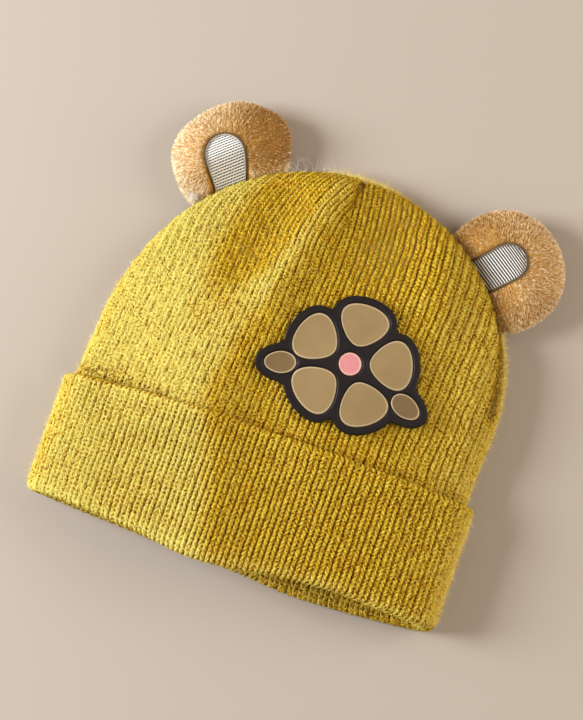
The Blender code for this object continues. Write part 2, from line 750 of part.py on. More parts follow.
def main():
    """Builds every piece and centres the hat on its box."""
    for obj in list(bpy.data.objects):
        bpy.data.objects.remove(obj, do_unlink=True)
    pieces = {"knit_body": knit_body()}
    surfaces = {"knit_body": "knit"}
    for side in EARS:
        pieces[f"ear_{side}"] = ear(side)
        pieces[f"ear_{side}_inner"] = ear_insert(side)
        surfaces[f"ear_{side}"] = "plush"
        surfaces[f"ear_{side}_inner"] = "insert"
    for name, piece in patch_pieces().items():
        pieces[name] = piece
        kind = name.split("_")[0]
        colour = {"patch": "dark", "petal": "tan", "leaf": "taupe", "flower": "pink"}[kind]
        surfaces[name] = f"rubber_{colour}"
    corners = np.concatenate([points for points, _ in pieces.values()])
    low, high = corners.min(axis=0), corners.max(axis=0)
    shift = np.array([-(low[0] + high[0]) / 2, -(low[1] + high[1]) / 2, -low[2]])
    for name, (points, faces) in pieces.items():
        add_object(name, points, faces, material(name, surfaces[name]), shift)


main()
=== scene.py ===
"""Looks of a knitted baby hat with two plush ears, lying on its back.

Each piece is a surface worked out as whole arrays: the knit is one tube whose stitches
stand on a form of two parameters, the ears are cushions under a pile of tapered hairs,
and the patch is a moulded relief. Lengths are in metres.
"""

import logging
import math
from dataclasses import dataclass, field
from enum import Enum

import bpy
import numpy as np
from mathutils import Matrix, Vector


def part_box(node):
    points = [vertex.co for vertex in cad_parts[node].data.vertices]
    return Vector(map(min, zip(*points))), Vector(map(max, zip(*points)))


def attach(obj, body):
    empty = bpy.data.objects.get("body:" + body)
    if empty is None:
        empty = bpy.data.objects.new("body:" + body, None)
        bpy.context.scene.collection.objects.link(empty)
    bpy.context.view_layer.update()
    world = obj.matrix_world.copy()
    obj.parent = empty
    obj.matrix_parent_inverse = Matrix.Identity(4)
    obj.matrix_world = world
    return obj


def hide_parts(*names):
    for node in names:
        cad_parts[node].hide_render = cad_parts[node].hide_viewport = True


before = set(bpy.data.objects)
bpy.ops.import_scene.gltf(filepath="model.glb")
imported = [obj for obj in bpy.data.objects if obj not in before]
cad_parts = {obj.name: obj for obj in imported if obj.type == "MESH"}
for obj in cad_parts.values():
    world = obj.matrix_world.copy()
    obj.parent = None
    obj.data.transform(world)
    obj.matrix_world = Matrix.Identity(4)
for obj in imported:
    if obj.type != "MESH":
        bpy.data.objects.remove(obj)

LOG = logging.getLogger("baby_hat")
Array = np.ndarray
FULL_TURN = 2.0 * math.pi
FLOOR_CLEARANCE = 0.0001

# Soft forms of the front: start x, start y, end x, end y, half-width, height.
# x and half-width are shares of the half width, y of the height and height of the puff.
FOLDS = (
    (0.835, 0.660, 0.915, 0.420, 0.060, 0.110),
    (-0.105, -0.022, -0.265, 0.270, 0.125, 0.205),
    (-0.355, 0.360, -0.250, 0.590, 0.112, 0.240),
    (-0.222, 0.660, -0.080, 0.946, 0.086, 0.240),
    (-0.295, 0.880, -0.360, 0.660, 0.086, -0.195),
    (0.245, 0.869, 0.194, 0.748, 0.130, -0.140),
    (0.514, 0.880, 0.594, 0.737, 0.108, 0.121),
    (0.686, 0.825, 0.734, 0.704, 0.076, -0.074),
    (-0.562, 0.385, -0.540, 0.605, 0.140, 0.140),
    (-0.756, 0.308, -0.734, 0.407, 0.086, -0.120),
)

# How full the puff is: place up the hat as a share of its height, share of the puff.
PUFF_SHARE = ((-0.055, 0.78), (0.165, 0.84), (0.330, 0.93), (0.440, 1.06), (0.660, 1.10), (0.990, 1.10))

# Painted shade on the crown, darkest in its high hollows, and painted light on its ridge and right side where
# the strength is below zero:
# start x, start y, end x, end y and reach in metres, strength.
PAINTED_SHADE_BANDS = (
    (-0.0340, 0.130, -0.0215, 0.166, 0.0105, 1.05),
    (0.0200, 0.146, 0.0250, 0.170, 0.0140, 1.60),
    (0.0850, 0.060, 0.0720, 0.130, 0.0130, -0.20),
    (-0.0242, 0.117, -0.0070, 0.172, 0.0065, -0.45),
)

# The lip's wavy line in front and behind: place across as a share of the half width,
# share of the dip.
FRONT_LIP = (
    (-1.037, 0.19), (-0.691, 0.42), (-0.454, 0.70), (-0.205, 1.25), (0.022, 1.05),
    (0.238, 0.42), (0.432, 0.06), (0.788, 0.15), (1.037, 0.37),
)
BACK_LIP = (
    (-1.037, 0.23), (-0.583, 0.50), (-0.205, 0.73), (0.065, 0.80), (0.302, 1.00),
    (0.529, 0.95), (0.767, 0.75), (1.037, 0.45),
)

# The cuff's free edge hangs lower at the folds: place across, share of the droop.
EDGE_DROOP = ((-1.037, 1.00), (-0.860, 0.45), (-0.600, 0.10), (0.700, 0.00), (1.037, 0.35))

# Each ear's flopped outline: direction in degrees, share of the ear's radius.
EAR_OUTLINES = {
    "left": (
        (0, 0.89), (24, 0.92), (42, 1.01), (57, 1.04), (83, 0.97), (102, 0.945), (130, 0.90),
        (156, 0.92), (176, 0.98), (190, 1.01), (214, 0.99), (240, 1.00), (300, 0.95), (360, 0.89),
    ),
    "right": (
        (0, 1.01), (50, 1.02), (75, 1.045), (100, 1.055), (125, 1.02), (150, 1.00),
        (200, 1.00), (280, 0.95), (305, 0.965), (335, 0.985), (360, 1.01),
    ),
}


def smooth(value: Array) -> Array:
    """An even S: zero below 0, one above 1."""
    value = np.clip(value, 0.0, 1.0)
    return value * value * (3.0 - 2.0 * value)


def curve(value: Array, rows: tuple) -> Array:
    """A smooth line through the rows of a two-column table, level beyond its ends.

    Args:
        value: Places at which the line is read.
        rows: Pairs of place and height.

    Returns:
        The heights: a cubic between each two rows with the mean slope at each.
    """
    knots, heights = np.array(rows, float).T
    slopes = np.gradient(heights, knots)
    value = np.clip(value, knots[0], knots[-1])
    place = np.clip(np.searchsorted(knots, value) - 1, 0, len(knots) - 2)
    step = knots[place + 1] - knots[place]
    share = (value - knots[place]) / step
    rise = heights[place + 1] - heights[place]
    bend = (slopes[place] * step - rise) * (1.0 - share)
    bend = bend - (slopes[place + 1] * step - rise) * share
    return heights[place] + rise * share + share * (1.0 - share) * bend


def ripple(x: Array, y: Array, size: float, seed: int) -> Array:
    """A gentle random field, from -1 to 1, made of seven crossing waves.

    Args:
        x: First coordinate.
        y: Second coordinate.
        size: Typical distance between two crests.
        seed: Picks the directions and phases.

    Returns:
        The mean of the waves, scaled to about one.
    """
    draw = np.random.default_rng(seed)
    total = np.zeros(np.broadcast(x, y).shape)
    for turn, phase, stretch in zip(
        draw.uniform(0.0, math.pi, 7), draw.uniform(0.0, FULL_TURN, 7), draw.uniform(0.7, 1.5, 7)
    ):
        along = x * math.cos(turn) + y * math.sin(turn)
        total = total + np.sin(FULL_TURN * stretch * along / size + phase)
    return np.clip(total / 3.5, -1.0, 1.0)


def unit(vectors: Array) -> Array:
    """Vectors of length one along the last axis."""
    size = np.linalg.norm(vectors, axis=-1, keepdims=True)
    return vectors / np.maximum(size, 1e-12)


def from_line(x: Array, y: Array, start: tuple[float, float], end: tuple[float, float]) -> Array:
    """Distance of points from a short straight line.

    Args:
        x: First coordinate.
        y: Second coordinate.
        start: One end of the line.
        end: Its other end.

    Returns:
        The distance to the nearest point of the line, an end among them.
    """
    run, climb = end[0] - start[0], end[1] - start[1]
    from_x, from_y = x - start[0], y - start[1]
    share = np.clip((from_x * run + from_y * climb) / (run**2 + climb**2), 0.0, 1.0)
    return np.hypot(from_x - share * run, from_y - share * climb)


def above_floor(points: Array) -> Array:
    """Points with none below the floor that the hat lies on."""
    points[..., 2] = np.maximum(points[..., 2], FLOOR_CLEARANCE)
    return points


def link(name: str, data: bpy.types.ID) -> bpy.types.Object:
    """Puts an object into the scene.

    Args:
        name: Name of the object.
        data: The mesh, light or camera that it holds.

    Returns:
        The object.
    """
    made = bpy.data.objects.new(name, data)
    bpy.context.scene.collection.objects.link(made)
    return made


def grid_faces(rows: int, columns: int, closed: bool = False, flip: bool = False) -> Array:
    """Quads of a grid whose points are stored row by row.

    Args:
        rows: Number of rows of points.
        columns: Number of points in a row.
        closed: Joins each row's last point to its first.
        flip: Turns the faces round.

    Returns:
        One row of four point numbers for each face.
    """
    across = np.arange(columns if closed else columns - 1)
    after = (across + 1) % columns
    first = np.arange(rows - 1)[:, None] * columns
    below = first + columns
    quads = np.stack([first + across, first + after, below + after, below + across], axis=-1).reshape(-1, 4)
    return quads[:, ::-1] if flip else quads


def ring_faces(rings: int, columns: int, last_pole: bool, flip: bool = False) -> Array:
    """Triangles of closed rings of points with a pole inside the first ring.

    Args:
        rings: Number of rings.
        columns: Number of points in a ring.
        last_pole: Closes the last ring on a second pole.
        flip: Turns the faces round.

    Returns:
        Three point numbers for each face. The poles' points follow the rings'.
    """
    quads = grid_faces(rings, columns, closed=True)
    across = np.arange(columns)
    after = (across + 1) % columns
    pole = np.full(columns, rings * columns)
    parts = [quads[:, [0, 1, 2]], quads[:, [0, 2, 3]], np.stack([pole, after, across], axis=-1)]
    if last_pole:
        low = (rings - 1) * columns
        parts.append(np.stack([pole + 1, low + across, low + after], axis=-1))
    faces = np.concatenate(parts)
    return faces[:, ::-1] if flip else faces


class Slot(Enum):
    """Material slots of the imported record."""

    KNIT = "mustard_knit"
    PLUSH = "ear_plush"
    INSERT = "ear_insert"
    OUTLINE = "patch_outline"
    TAN = "patch_tan"
    TAUPE = "patch_taupe"
    PINK = "patch_pink"


@dataclass
class Skin:
    """A mesh in the making: points, faces of equal size, and what its finish reads.

    uv holds one pair for each point, and shade one number: how far the point stands
    out of its furrow, which the yarn paints as shade, how near a hair's tip it is, or where
    a fill's painted highlight lies. tone holds the knit's painted light and each hair's tone.
    """

    points: Array
    faces: Array
    uv: Array | None = None
    shade: Array | None = None
    tone: Array | None = None

    def make(self, name: str, finish: bpy.types.Material, slot: Slot, *replaced: str) -> bpy.types.Object:
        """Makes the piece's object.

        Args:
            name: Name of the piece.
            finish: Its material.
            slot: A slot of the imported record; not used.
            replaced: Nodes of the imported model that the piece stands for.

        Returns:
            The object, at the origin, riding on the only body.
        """
        count, size = self.faces.shape
        mesh = bpy.data.meshes.new(name)
        mesh.vertices.add(len(self.points))
        mesh.vertices.foreach_set("co", np.ascontiguousarray(self.points, np.float32).ravel())
        mesh.loops.add(count * size)
        mesh.loops.foreach_set("vertex_index", np.ascontiguousarray(self.faces, np.int32).ravel())
        mesh.polygons.add(count)
        mesh.polygons.foreach_set("loop_start", np.arange(0, count * size, size, dtype=np.int32))
        mesh.polygons.foreach_set("loop_total", np.full(count, size, np.int32))
        if self.uv is not None:
            layer = mesh.uv_layers.new(name="UVMap")
            layer.data.foreach_set("uv", self.uv[self.faces.ravel()].astype(np.float32).ravel())
        for label, values in (("shade", self.shade), ("tone", self.tone)):
            if values is not None:
                mesh.attributes.new(label, "FLOAT", "POINT")
                mesh.attributes[label].data.foreach_set("value", values.astype(np.float32).ravel())
        mesh.update(calc_edges=True)
        mesh.shade_smooth()
        mesh.materials.append(finish)
        made = link(name, mesh)
        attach(made, "root")
        if replaced:
            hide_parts(*replaced)
        LOG.info("%s: %d triangles", name, count * (size - 2))
        return made


@dataclass(frozen=True)
class HatForm:
    """The tube that the hat is knitted as, in the hat's own frame.

    The frame's origin is the middle of the cuff's lower edge, +Z points out of the
    front and +Y to the crown.
    """

    ribs: int = 84
    rib_drift: float = 0.07
    wall: float = 0.0024
    cuff_relief: float = 0.00050
    crown_relief: float = 0.00038
    half_width: float = 0.0926
    fold_radius: float = 0.0052
    dome_start: float = 0.0862
    dome_height: float = 0.0957
    dome_tilt: float = math.radians(30.0)
    dome_tilt_end: float = math.radians(60.0)
    crown_lean: float = 0.0043
    crown_lift: float = 0.00015
    puff: float = 0.0215
    slope_across: float = 0.16
    cuff_height: float = 0.0554
    cuff_gap: float = 0.0006
    cuff_spread: float = 0.0014
    spread_fade: float = 0.018
    shoulder: float = 0.016
    front_lip_dip: float = 0.0052
    back_lip_dip: float = 0.0080
    lip_fade: float = 0.018

    @property
    def height(self) -> float:
        """From the cuff's edge to the top of the crown."""
        return self.dome_start + self.dome_height

    @property
    def cuff_out(self) -> float:
        """Distance of the cuff's face outside the crown's."""
        return self.cuff_gap + self.wall

    @property
    def pole(self) -> float:
        """Level of the point where the ribs meet."""
        return self.dome_start + self.dome_height * math.pi / 2

    def middle_x(self, y: Array) -> Array:
        """Middle of the hat at a height: the crown leans a little to the right."""
        return self.crown_lean * smooth(2.0 * y / self.height - 0.5)

    def half_width_at(self, y: Array) -> Array:
        """Half of the flat width: the cuff is a little stretched."""
        return self.half_width + self.cuff_spread * smooth((self.cuff_height - y) / self.spread_fade + 0.6)

    def middle_z(self, y: Array) -> Array:
        """Height of the side folds.

        Args:
            y: Places up the hat.

        Returns:
            The cuff's height, which its two layers lift, and the crown's above it,
            with an even S between them.
        """
        crown = self.fold_radius + self.crown_relief + self.crown_lift
        cuff = self.fold_radius + self.cuff_out + self.cuff_relief
        return cuff + (crown - cuff) * smooth((y - self.cuff_height) / self.shoulder)

    def puff_at(self, x: Array, y: Array) -> Array:
        """Height of the front above the side folds.

        Args:
            x: Places across the hat.
            y: Places up the hat.

        Returns:
            A dome, the puff times depth to the power 1.55, plus a bell-shaped ridge or
            hollow along each line of FOLDS.
        """
        across = (x - self.middle_x(y)) / self.half_width_at(y)
        up = np.maximum(y - self.dome_start, 0.0) / self.dome_height
        depth = np.sqrt(np.clip(1.0 - across**2 - up**2, 0.0, 1.0))
        height = self.puff * curve(y / self.height, PUFF_SHARE) * depth**1.55
        height = height * (1.0 - self.slope_across * (x - self.middle_x(y)) / self.half_width)
        wide, tall = self.half_width, self.height
        for from_x, from_y, to_x, to_y, reach, rise in FOLDS:
            start, end = (from_x * wide, from_y * tall), (to_x * wide, to_y * tall)
            away = from_line(x, y, start, end) / (reach * wide)
            height = height + self.puff * rise * np.exp(-(away**2) / 2.0) * smooth(depth / 0.5)
        return height

    def front_height(self, x: Array, y: Array) -> Array:
        """Top of the crown's front over its ribs."""
        return self.middle_z(y) + self.fold_radius + self.crown_relief + self.puff_at(x, y)

    def fabric(self, angle: Array, level: Array, offset: Array) -> Array:
        """Points of the knit in the hat's frame.

        Args:
            angle: Turn round the tube: 0 the left fold, pi/2 the front, pi the right.
            level: Distance up the tube, and beyond the dome's start the angle up the
                dome times its height.
            offset: Distance outside the crown's face.

        Returns:
            A flattened tube with a dome that is turned backwards, raised by the puff
            in front and drawn down along the cuff's lower edge.
        """
        angle, level, offset = np.broadcast_arrays(angle, level, offset)
        climb = np.maximum(level - self.dome_start, 0.0) / self.dome_height
        tilt = self.dome_tilt * smooth(climb / self.dome_tilt_end)
        across = -np.cos(angle) * np.cos(climb)
        front = np.sin(angle) * np.cos(climb)
        depth = front * np.cos(tilt) - np.sin(climb) * np.sin(tilt)
        up = front * np.sin(tilt) + np.sin(climb) * np.cos(tilt)
        y = np.minimum(level, self.dome_start) + (self.dome_height + offset) * up
        x = self.middle_x(y) + (self.half_width_at(y) + offset) * across
        radius = self.fold_radius + offset
        side = np.sin(np.clip(np.sqrt(self.half_width / radius) * depth, -math.pi / 2, math.pi / 2))
        inside_y = np.minimum(level, self.dome_start) + self.dome_height * up
        inside_x = self.middle_x(y) + self.half_width_at(y) * across
        raised = np.where(depth > 0.0, self.puff_at(inside_x, inside_y), 0.0)
        z = self.middle_z(y) + radius * side + raised
        facing = 0.5 + 0.5 * side
        droop = facing * self.front_lip_dip * curve(x / self.half_width, FRONT_LIP)
        droop = droop + (1.0 - facing) * self.back_lip_dip * curve(x / self.half_width, BACK_LIP)
        y = y - droop * np.exp(-np.maximum(y, 0.0) / self.lip_fade)
        return np.stack([x, y, z], axis=-1)

    def angle_of(self, rib: Array) -> Array:
        """Turn round the tube of a rib number, counted evenly along the cloth.

        Args:
            rib: Rib numbers: whole on a rib's crest, a half in the furrow after it.

        Returns:
            The angles that fabric() takes. Ribs are narrower at the left fold than
            at the right one.
        """
        dense = np.linspace(0.0, FULL_TURN, 2401)
        ring = self.fabric(dense, self.cuff_height / 2, 0.0)
        length = np.concatenate([[0.0], np.cumsum(np.linalg.norm(np.diff(ring, axis=0), axis=1))])
        turns = np.floor(np.asarray(rib) / self.ribs)
        share = 2.0 * (rib / self.ribs - turns)
        part = share - np.floor(share)
        share = share - np.where(share < 1.0, 1.0, -1.0) * self.rib_drift * part * (1.0 - part)
        wanted = share * length[-1] / 2.0
        return np.interp(wanted, length, dense) + FULL_TURN * turns

    def shift(self) -> Array:
        """From the hat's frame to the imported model's.

        Returns:
            The move that lays the hat's left, top and back on those of the knit's box.
        """
        low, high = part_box("knit_body")
        left = -(self.half_width + self.cuff_spread + self.cuff_out + self.cuff_relief)
        top = self.height + self.crown_relief
        return np.array([low.x - left, high.y - top, low.z])


@dataclass(frozen=True)
class Stitch:
    """One knitted rib's stitches: two slanting legs to a rib and a furrow beside it."""

    row: float = 0.00195
    slant: float = 1.35
    filled_half: float = 0.10
    purl_half: float = 0.09
    leg_low: float = 0.58
    columns: tuple = (-0.5, -0.41, -0.32, -0.22, -0.10, 0.0, 0.10, 0.22, 0.32, 0.41)
    phases: tuple = (0.0, 0.2, 0.5, 0.8)
    coarse_columns: tuple = (-0.5, -0.32, -0.17, 0.0, 0.17, 0.32)
    coarse_phases: tuple = (0.0, 0.5)

    def stand(
        self, aside: Array, phase: Array, rib: Array, row: Array, filled: float = 0.28, felted: float = 0.0
    ) -> Array:
        """How far a point stands out of the furrow, from 0 to about 1.

        Args:
            aside: Place across the rib, from -0.5 to 0.5.
            phase: Place along the leg, whole where two stitches meet.
            rib: Rib number, for the unevenness of hand and yarn.
            row: Row number, likewise.
            filled: Height of the cloth between the two legs.
            felted: How far the furrow between two ribs is filled with fuzz in places.

        Returns:
            A leg's round cross-section times a low arch along each stitch, with a
            shallower, dotted groove between the legs than between the ribs.
        """
        away = (np.abs(aside) - 0.25) / 0.25
        leg = np.clip(1.0 - away**2, 0.0, 1.0) ** 0.85
        along = 2.0 * (phase - np.floor(phase)) - 1.0
        arch = np.sqrt(np.clip(1.0 - 0.97 * along**2, 0.0, 1.0))
        beat = 0.5 + 0.5 * np.cos(FULL_TURN * row)
        middle = filled * np.exp(-((aside / self.filled_half) ** 2)) * (0.5 + beat)
        matted = felted * np.clip(0.55 + 0.9 * ripple(rib * 1.4, row, 2.6, 13), 0.0, 1.0)
        furrow = np.exp(-(((np.abs(aside) - 0.5) / self.purl_half) ** 2))
        purl = (0.12 * beat + matted * (0.6 + 0.8 * beat)) * furrow
        uneven = 1.0 + 0.16 * ripple(rib, row, 1.3, 11) + 0.10 * ripple(rib, row, 6.0, 12)
        return leg * (self.leg_low + (1.0 - self.leg_low) * arch) * uneven + middle + purl

    def relief(self, stand: Array) -> Array:
        """Height over the cloth's mean face, in stitch depths."""
        return 2.3 * stand - 1.3

    def grid(self, first: int, last: int, start: int, stop: int, coarse: bool) -> tuple[Array, Array]:
        """Rib and row numbers of a grid that runs from furrow to furrow.

        Args:
            first: First rib.
            last: The rib after the last one.
            start: First row.
            stop: Last row.
            coarse: Uses fewer points, for what seldom shows.

        Returns:
            The rib number and the row number of each point.
        """
        across, along = (self.coarse_columns, self.coarse_phases) if coarse else (self.columns, self.phases)
        ribs = np.append((np.arange(first, last)[:, None] + np.array(across)).ravel(), last - 0.5)
        rows = np.append((np.arange(start, stop)[:, None] + np.array(along)).ravel(), stop)
        return tuple(np.meshgrid(ribs, rows))


class Term:
    """A number in a node tree that Python's arithmetic adds nodes to."""

    def __init__(self, recipe: "Recipe", socket: bpy.types.NodeSocket) -> None:
        """Wraps an output socket."""
        self.recipe = recipe
        self.socket = socket

    def math(self, operation: str, *others: "Term | float") -> "Term":
        """A Math node on this value and others."""
        node = self.recipe.node("ShaderNodeMath", {"operation": operation}, dict(enumerate([self, *others])))
        return Term(self.recipe, node.outputs[0])

    def __add__(self, other: "Term | float") -> "Term":
        """Sum."""
        return self.math("ADD", other)

    __radd__ = __add__

    def __mul__(self, other: "Term | float") -> "Term":
        """Product."""
        return self.math("MULTIPLY", other)

    __rmul__ = __mul__

    def __sub__(self, other: "Term | float") -> "Term":
        """Difference."""
        return self.math("SUBTRACT", other)

    def __rsub__(self, other: float) -> "Term":
        """A number less this value."""
        return self.math("MULTIPLY", -1.0).math("ADD", other)

    def clamp(self) -> "Term":
        """This value kept between 0 and 1."""
        return self.math("MINIMUM", 1.0).math("MAXIMUM", 0.0)


class Recipe:
    """A material's node tree."""

    def __init__(self, name: str) -> None:
        """Starts a material that holds only a Principled shader and its output."""
        self.material = bpy.data.materials.new(name)
        self.material.use_nodes = True
        self.tree = self.material.node_tree
        self.tree.nodes.clear()
        self.shader = self.node("ShaderNodeBsdfPrincipled")
        self.node("ShaderNodeOutputMaterial", inputs={"Surface": self.shader.outputs[0]})

    def node(self, kind: str, settings: dict | None = None, inputs: dict | None = None) -> bpy.types.Node:
        """Adds a node.

        Args:
            kind: The node's type.
            settings: Its own options, set first; "stops" holds a ramp's place and colour.
            inputs: Values, sockets or terms, by the socket's name or number.

        Returns:
            The node.
        """
        made = self.tree.nodes.new(kind)
        for label, value in (settings or {}).items():
            if label == "stops":
                while len(made.color_ramp.elements) < len(value):
                    made.color_ramp.elements.new(0.5)
                for element, (place, colour) in zip(made.color_ramp.elements, value):
                    element.position = place
                    element.color = (*colour, 1.0)
            else:
                setattr(made, label, value)
        for label, value in (inputs or {}).items():
            self.feed(made.inputs[label], value)
        return made

    def feed(self, socket: bpy.types.NodeSocket, value: object) -> None:
        """Sets an input.

        Args:
            socket: The input.
            value: A plain value for it, or a socket or a term to link to it.
        """
        value = value.socket if isinstance(value, Term) else value
        if isinstance(value, bpy.types.NodeSocket):
            self.tree.links.new(value, socket)
        else:
            socket.default_value = value

    def attribute(self, label: str) -> Term:
        """A number that the mesh carries at each point."""
        return Term(self, self.node("ShaderNodeAttribute", {"attribute_name": label}).outputs["Fac"])

    def place(self) -> bpy.types.NodeSocket:
        """Object coordinates."""
        return self.node("ShaderNodeTexCoord").outputs["Object"]

    def uv(self) -> tuple[Term, Term]:
        """The two numbers of the piece's UV map."""
        parts = self.node("ShaderNodeSeparateXYZ", inputs={0: self.node("ShaderNodeUVMap").outputs[0]})
        return Term(self, parts.outputs[0]), Term(self, parts.outputs[1])

    def vector(self, x: Term | float, y: Term | float) -> bpy.types.NodeSocket:
        """A vector of two numbers and zero."""
        return self.node("ShaderNodeCombineXYZ", inputs={0: x, 1: y}).outputs[0]

    def noise(
        self, vector: bpy.types.NodeSocket, scale: float, detail: float = 2.0, rough: float = 0.5
    ) -> Term:
        """Noise around 0.5."""
        settings = {"Vector": vector, "Scale": scale, "Detail": detail, "Roughness": rough}
        return Term(self, self.node("ShaderNodeTexNoise", inputs=settings).outputs["Fac"])

    def ramp(self, value: Term, stops: tuple) -> bpy.types.NodeSocket:
        """A colour ramp through stops of place and colour."""
        return self.node("ShaderNodeValToRGB", {"stops": stops}, {"Fac": value}).outputs["Color"]

    def mix(
        self, share: Term | float, first: object, second: object, blend: str = "MIX"
    ) -> bpy.types.NodeSocket:
        """Two colours mixed.

        Args:
            share: How much the second colour counts.
            first: A colour or a socket.
            second: Another one.
            blend: The way of mixing.

        Returns:
            The mixed colour's socket.
        """
        options = {"data_type": "RGBA", "blend_type": blend, "clamp_factor": True}
        first = first if isinstance(first, bpy.types.NodeSocket) else (*first, 1.0)
        second = second if isinstance(second, bpy.types.NodeSocket) else (*second, 1.0)
        return self.node("ShaderNodeMix", options, {0: share, 6: first, 7: second}).outputs[2]

    def bump(self, height: Term, distance: float, strength: float = 1.0) -> bpy.types.NodeSocket:
        """A normal roughened by a height."""
        inputs = {"Height": height, "Distance": distance, "Strength": strength}
        return self.node("ShaderNodeBump", inputs=inputs).outputs[0]

    def finish(self, **values: object) -> bpy.types.Material:
        """Sets the shader's sockets, whose names have underscores for spaces.

        Args:
            values: Numbers, colours, sockets or terms.

        Returns:
            The material.
        """
        for label, value in values.items():
            self.feed(self.shader.inputs[label.replace("_", " ")], value)
        return self.material


@dataclass(frozen=True)
class YarnFinish:
    """Fuzzy mustard yarn with painted shade: lighter on the stitches' backs, brown-gold in the furrows, and
    paler under painted light.
    """

    # furrow to tip: the stitch ramp, painting shade into the furrows.
    furrow: tuple = (0.062, 0.018, 0.0005)
    flank: tuple = (0.500, 0.198, 0.002)
    crest: tuple = (0.860, 0.445, 0.005)
    tip: tuple = (1.000, 0.790, 0.080)
    # The pale colour of the painted light.
    painted_light_colour: tuple = (1.000, 0.900, 0.225)
    fibre_end: tuple = (1.000, 0.900, 0.420)
    lint_root: tuple = (0.750, 0.680, 0.620)
    lint_tip: tuple = (1.000, 0.970, 0.950)

    def material(self, name: str, painted_dimming: float = 1.0) -> bpy.types.Material:
        """The knit's material.

        Args:
            name: Name of the material.
            painted_dimming: Share of the colour that is kept; below one it paints shade, as on the copy for
                the hat's inside.

        Returns:
            A rough shader with a soft sheen. Its colour follows how far a stitch
            stands out, as painted shade in the furrows, stirred by noise at the size of fibres
            and of stitches, and is paler where the tone attribute paints light.
        """
        recipe = Recipe(name)
        rib, row = recipe.uv()
        place = recipe.place()
        fibre = recipe.noise(place, 1750.0, 2.0, 0.6) - 0.5
        grain = recipe.noise(place, 980.0, 3.0, 0.65) - 0.5
        mottle = recipe.noise(place, 420.0, 2.0, 0.6) - 0.5
        strand = recipe.noise(recipe.vector(rib * 9.0 + row * 2.2, row * 1.1), 1.6, 3.0, 0.6) - 0.5
        cloud = recipe.noise(place, 45.0, 2.0) - 0.5
        stand = recipe.attribute("shade")
        painted_light = recipe.attribute("tone")
        # Colour follows the stitch relief as painted shade, darkest in the furrows; the tone's painted light
        # lifts it.
        value = stand * 1.28 + fibre * 3.4 + grain * 2.6 + mottle * 0.4 + strand * 0.9 + cloud * 0.2
        value = value + painted_light * 0.13 - 0.255
        stops = ((0.00, self.furrow), (0.33, self.flank), (0.70, self.crest), (1.00, self.tip))
        colour = recipe.ramp(value.clamp(), stops)
        # Painted light: the tone mixes in a pale colour where the cloth faces the lights.
        painted_light_share = painted_light * (value * 1.45 - 0.30)
        colour = recipe.mix(painted_light_share.clamp(), colour, self.painted_light_colour)
        # A darker copy paints shade.
        if painted_dimming < 1.0:
            colour = recipe.mix(1.0, colour, (painted_dimming, painted_dimming, painted_dimming), "MULTIPLY")
        return recipe.finish(
            Base_Color=colour,
            Roughness=0.85,
            Specular_IOR_Level=0.05,
            Sheen_Weight=0.30,
            Sheen_Roughness=0.50,
            Sheen_Tint=(1.0, 0.78, 0.10, 1.0),
            Normal=recipe.bump(fibre * 0.7 + grain + strand * 0.35, 0.0022, 1.0),
        )

    def fuzz(self, name: str) -> bpy.types.Material:
        """The loose fibres' material: light, soft and partly see-through."""
        stops = ((0.0, self.flank), (0.45, self.crest), (0.75, self.tip), (1.0, self.fibre_end))
        return self.strand(name, stops, 0.7, 0.42)

    def lint(self, name: str) -> bpy.types.Material:
        """White lint."""
        return self.strand(name, ((0.0, self.lint_root), (1.0, self.lint_tip)), 0.8, 0.65)

    def strand(self, name: str, stops: tuple, roughness: float, alpha: float) -> bpy.types.Material:
        """A material for thin hairs, coloured by each one's tone.

        Args:
            name: Name of the material.
            stops: Stops of the colour ramp.
            roughness: The shader's roughness.
            alpha: How far a hair covers what is behind it.

        Returns:
            The material.
        """
        recipe = Recipe(name)
        colour = recipe.ramp(recipe.attribute("tone"), stops)
        return recipe.finish(Base_Color=colour, Roughness=roughness, Specular_IOR_Level=0.1, Alpha=alpha)


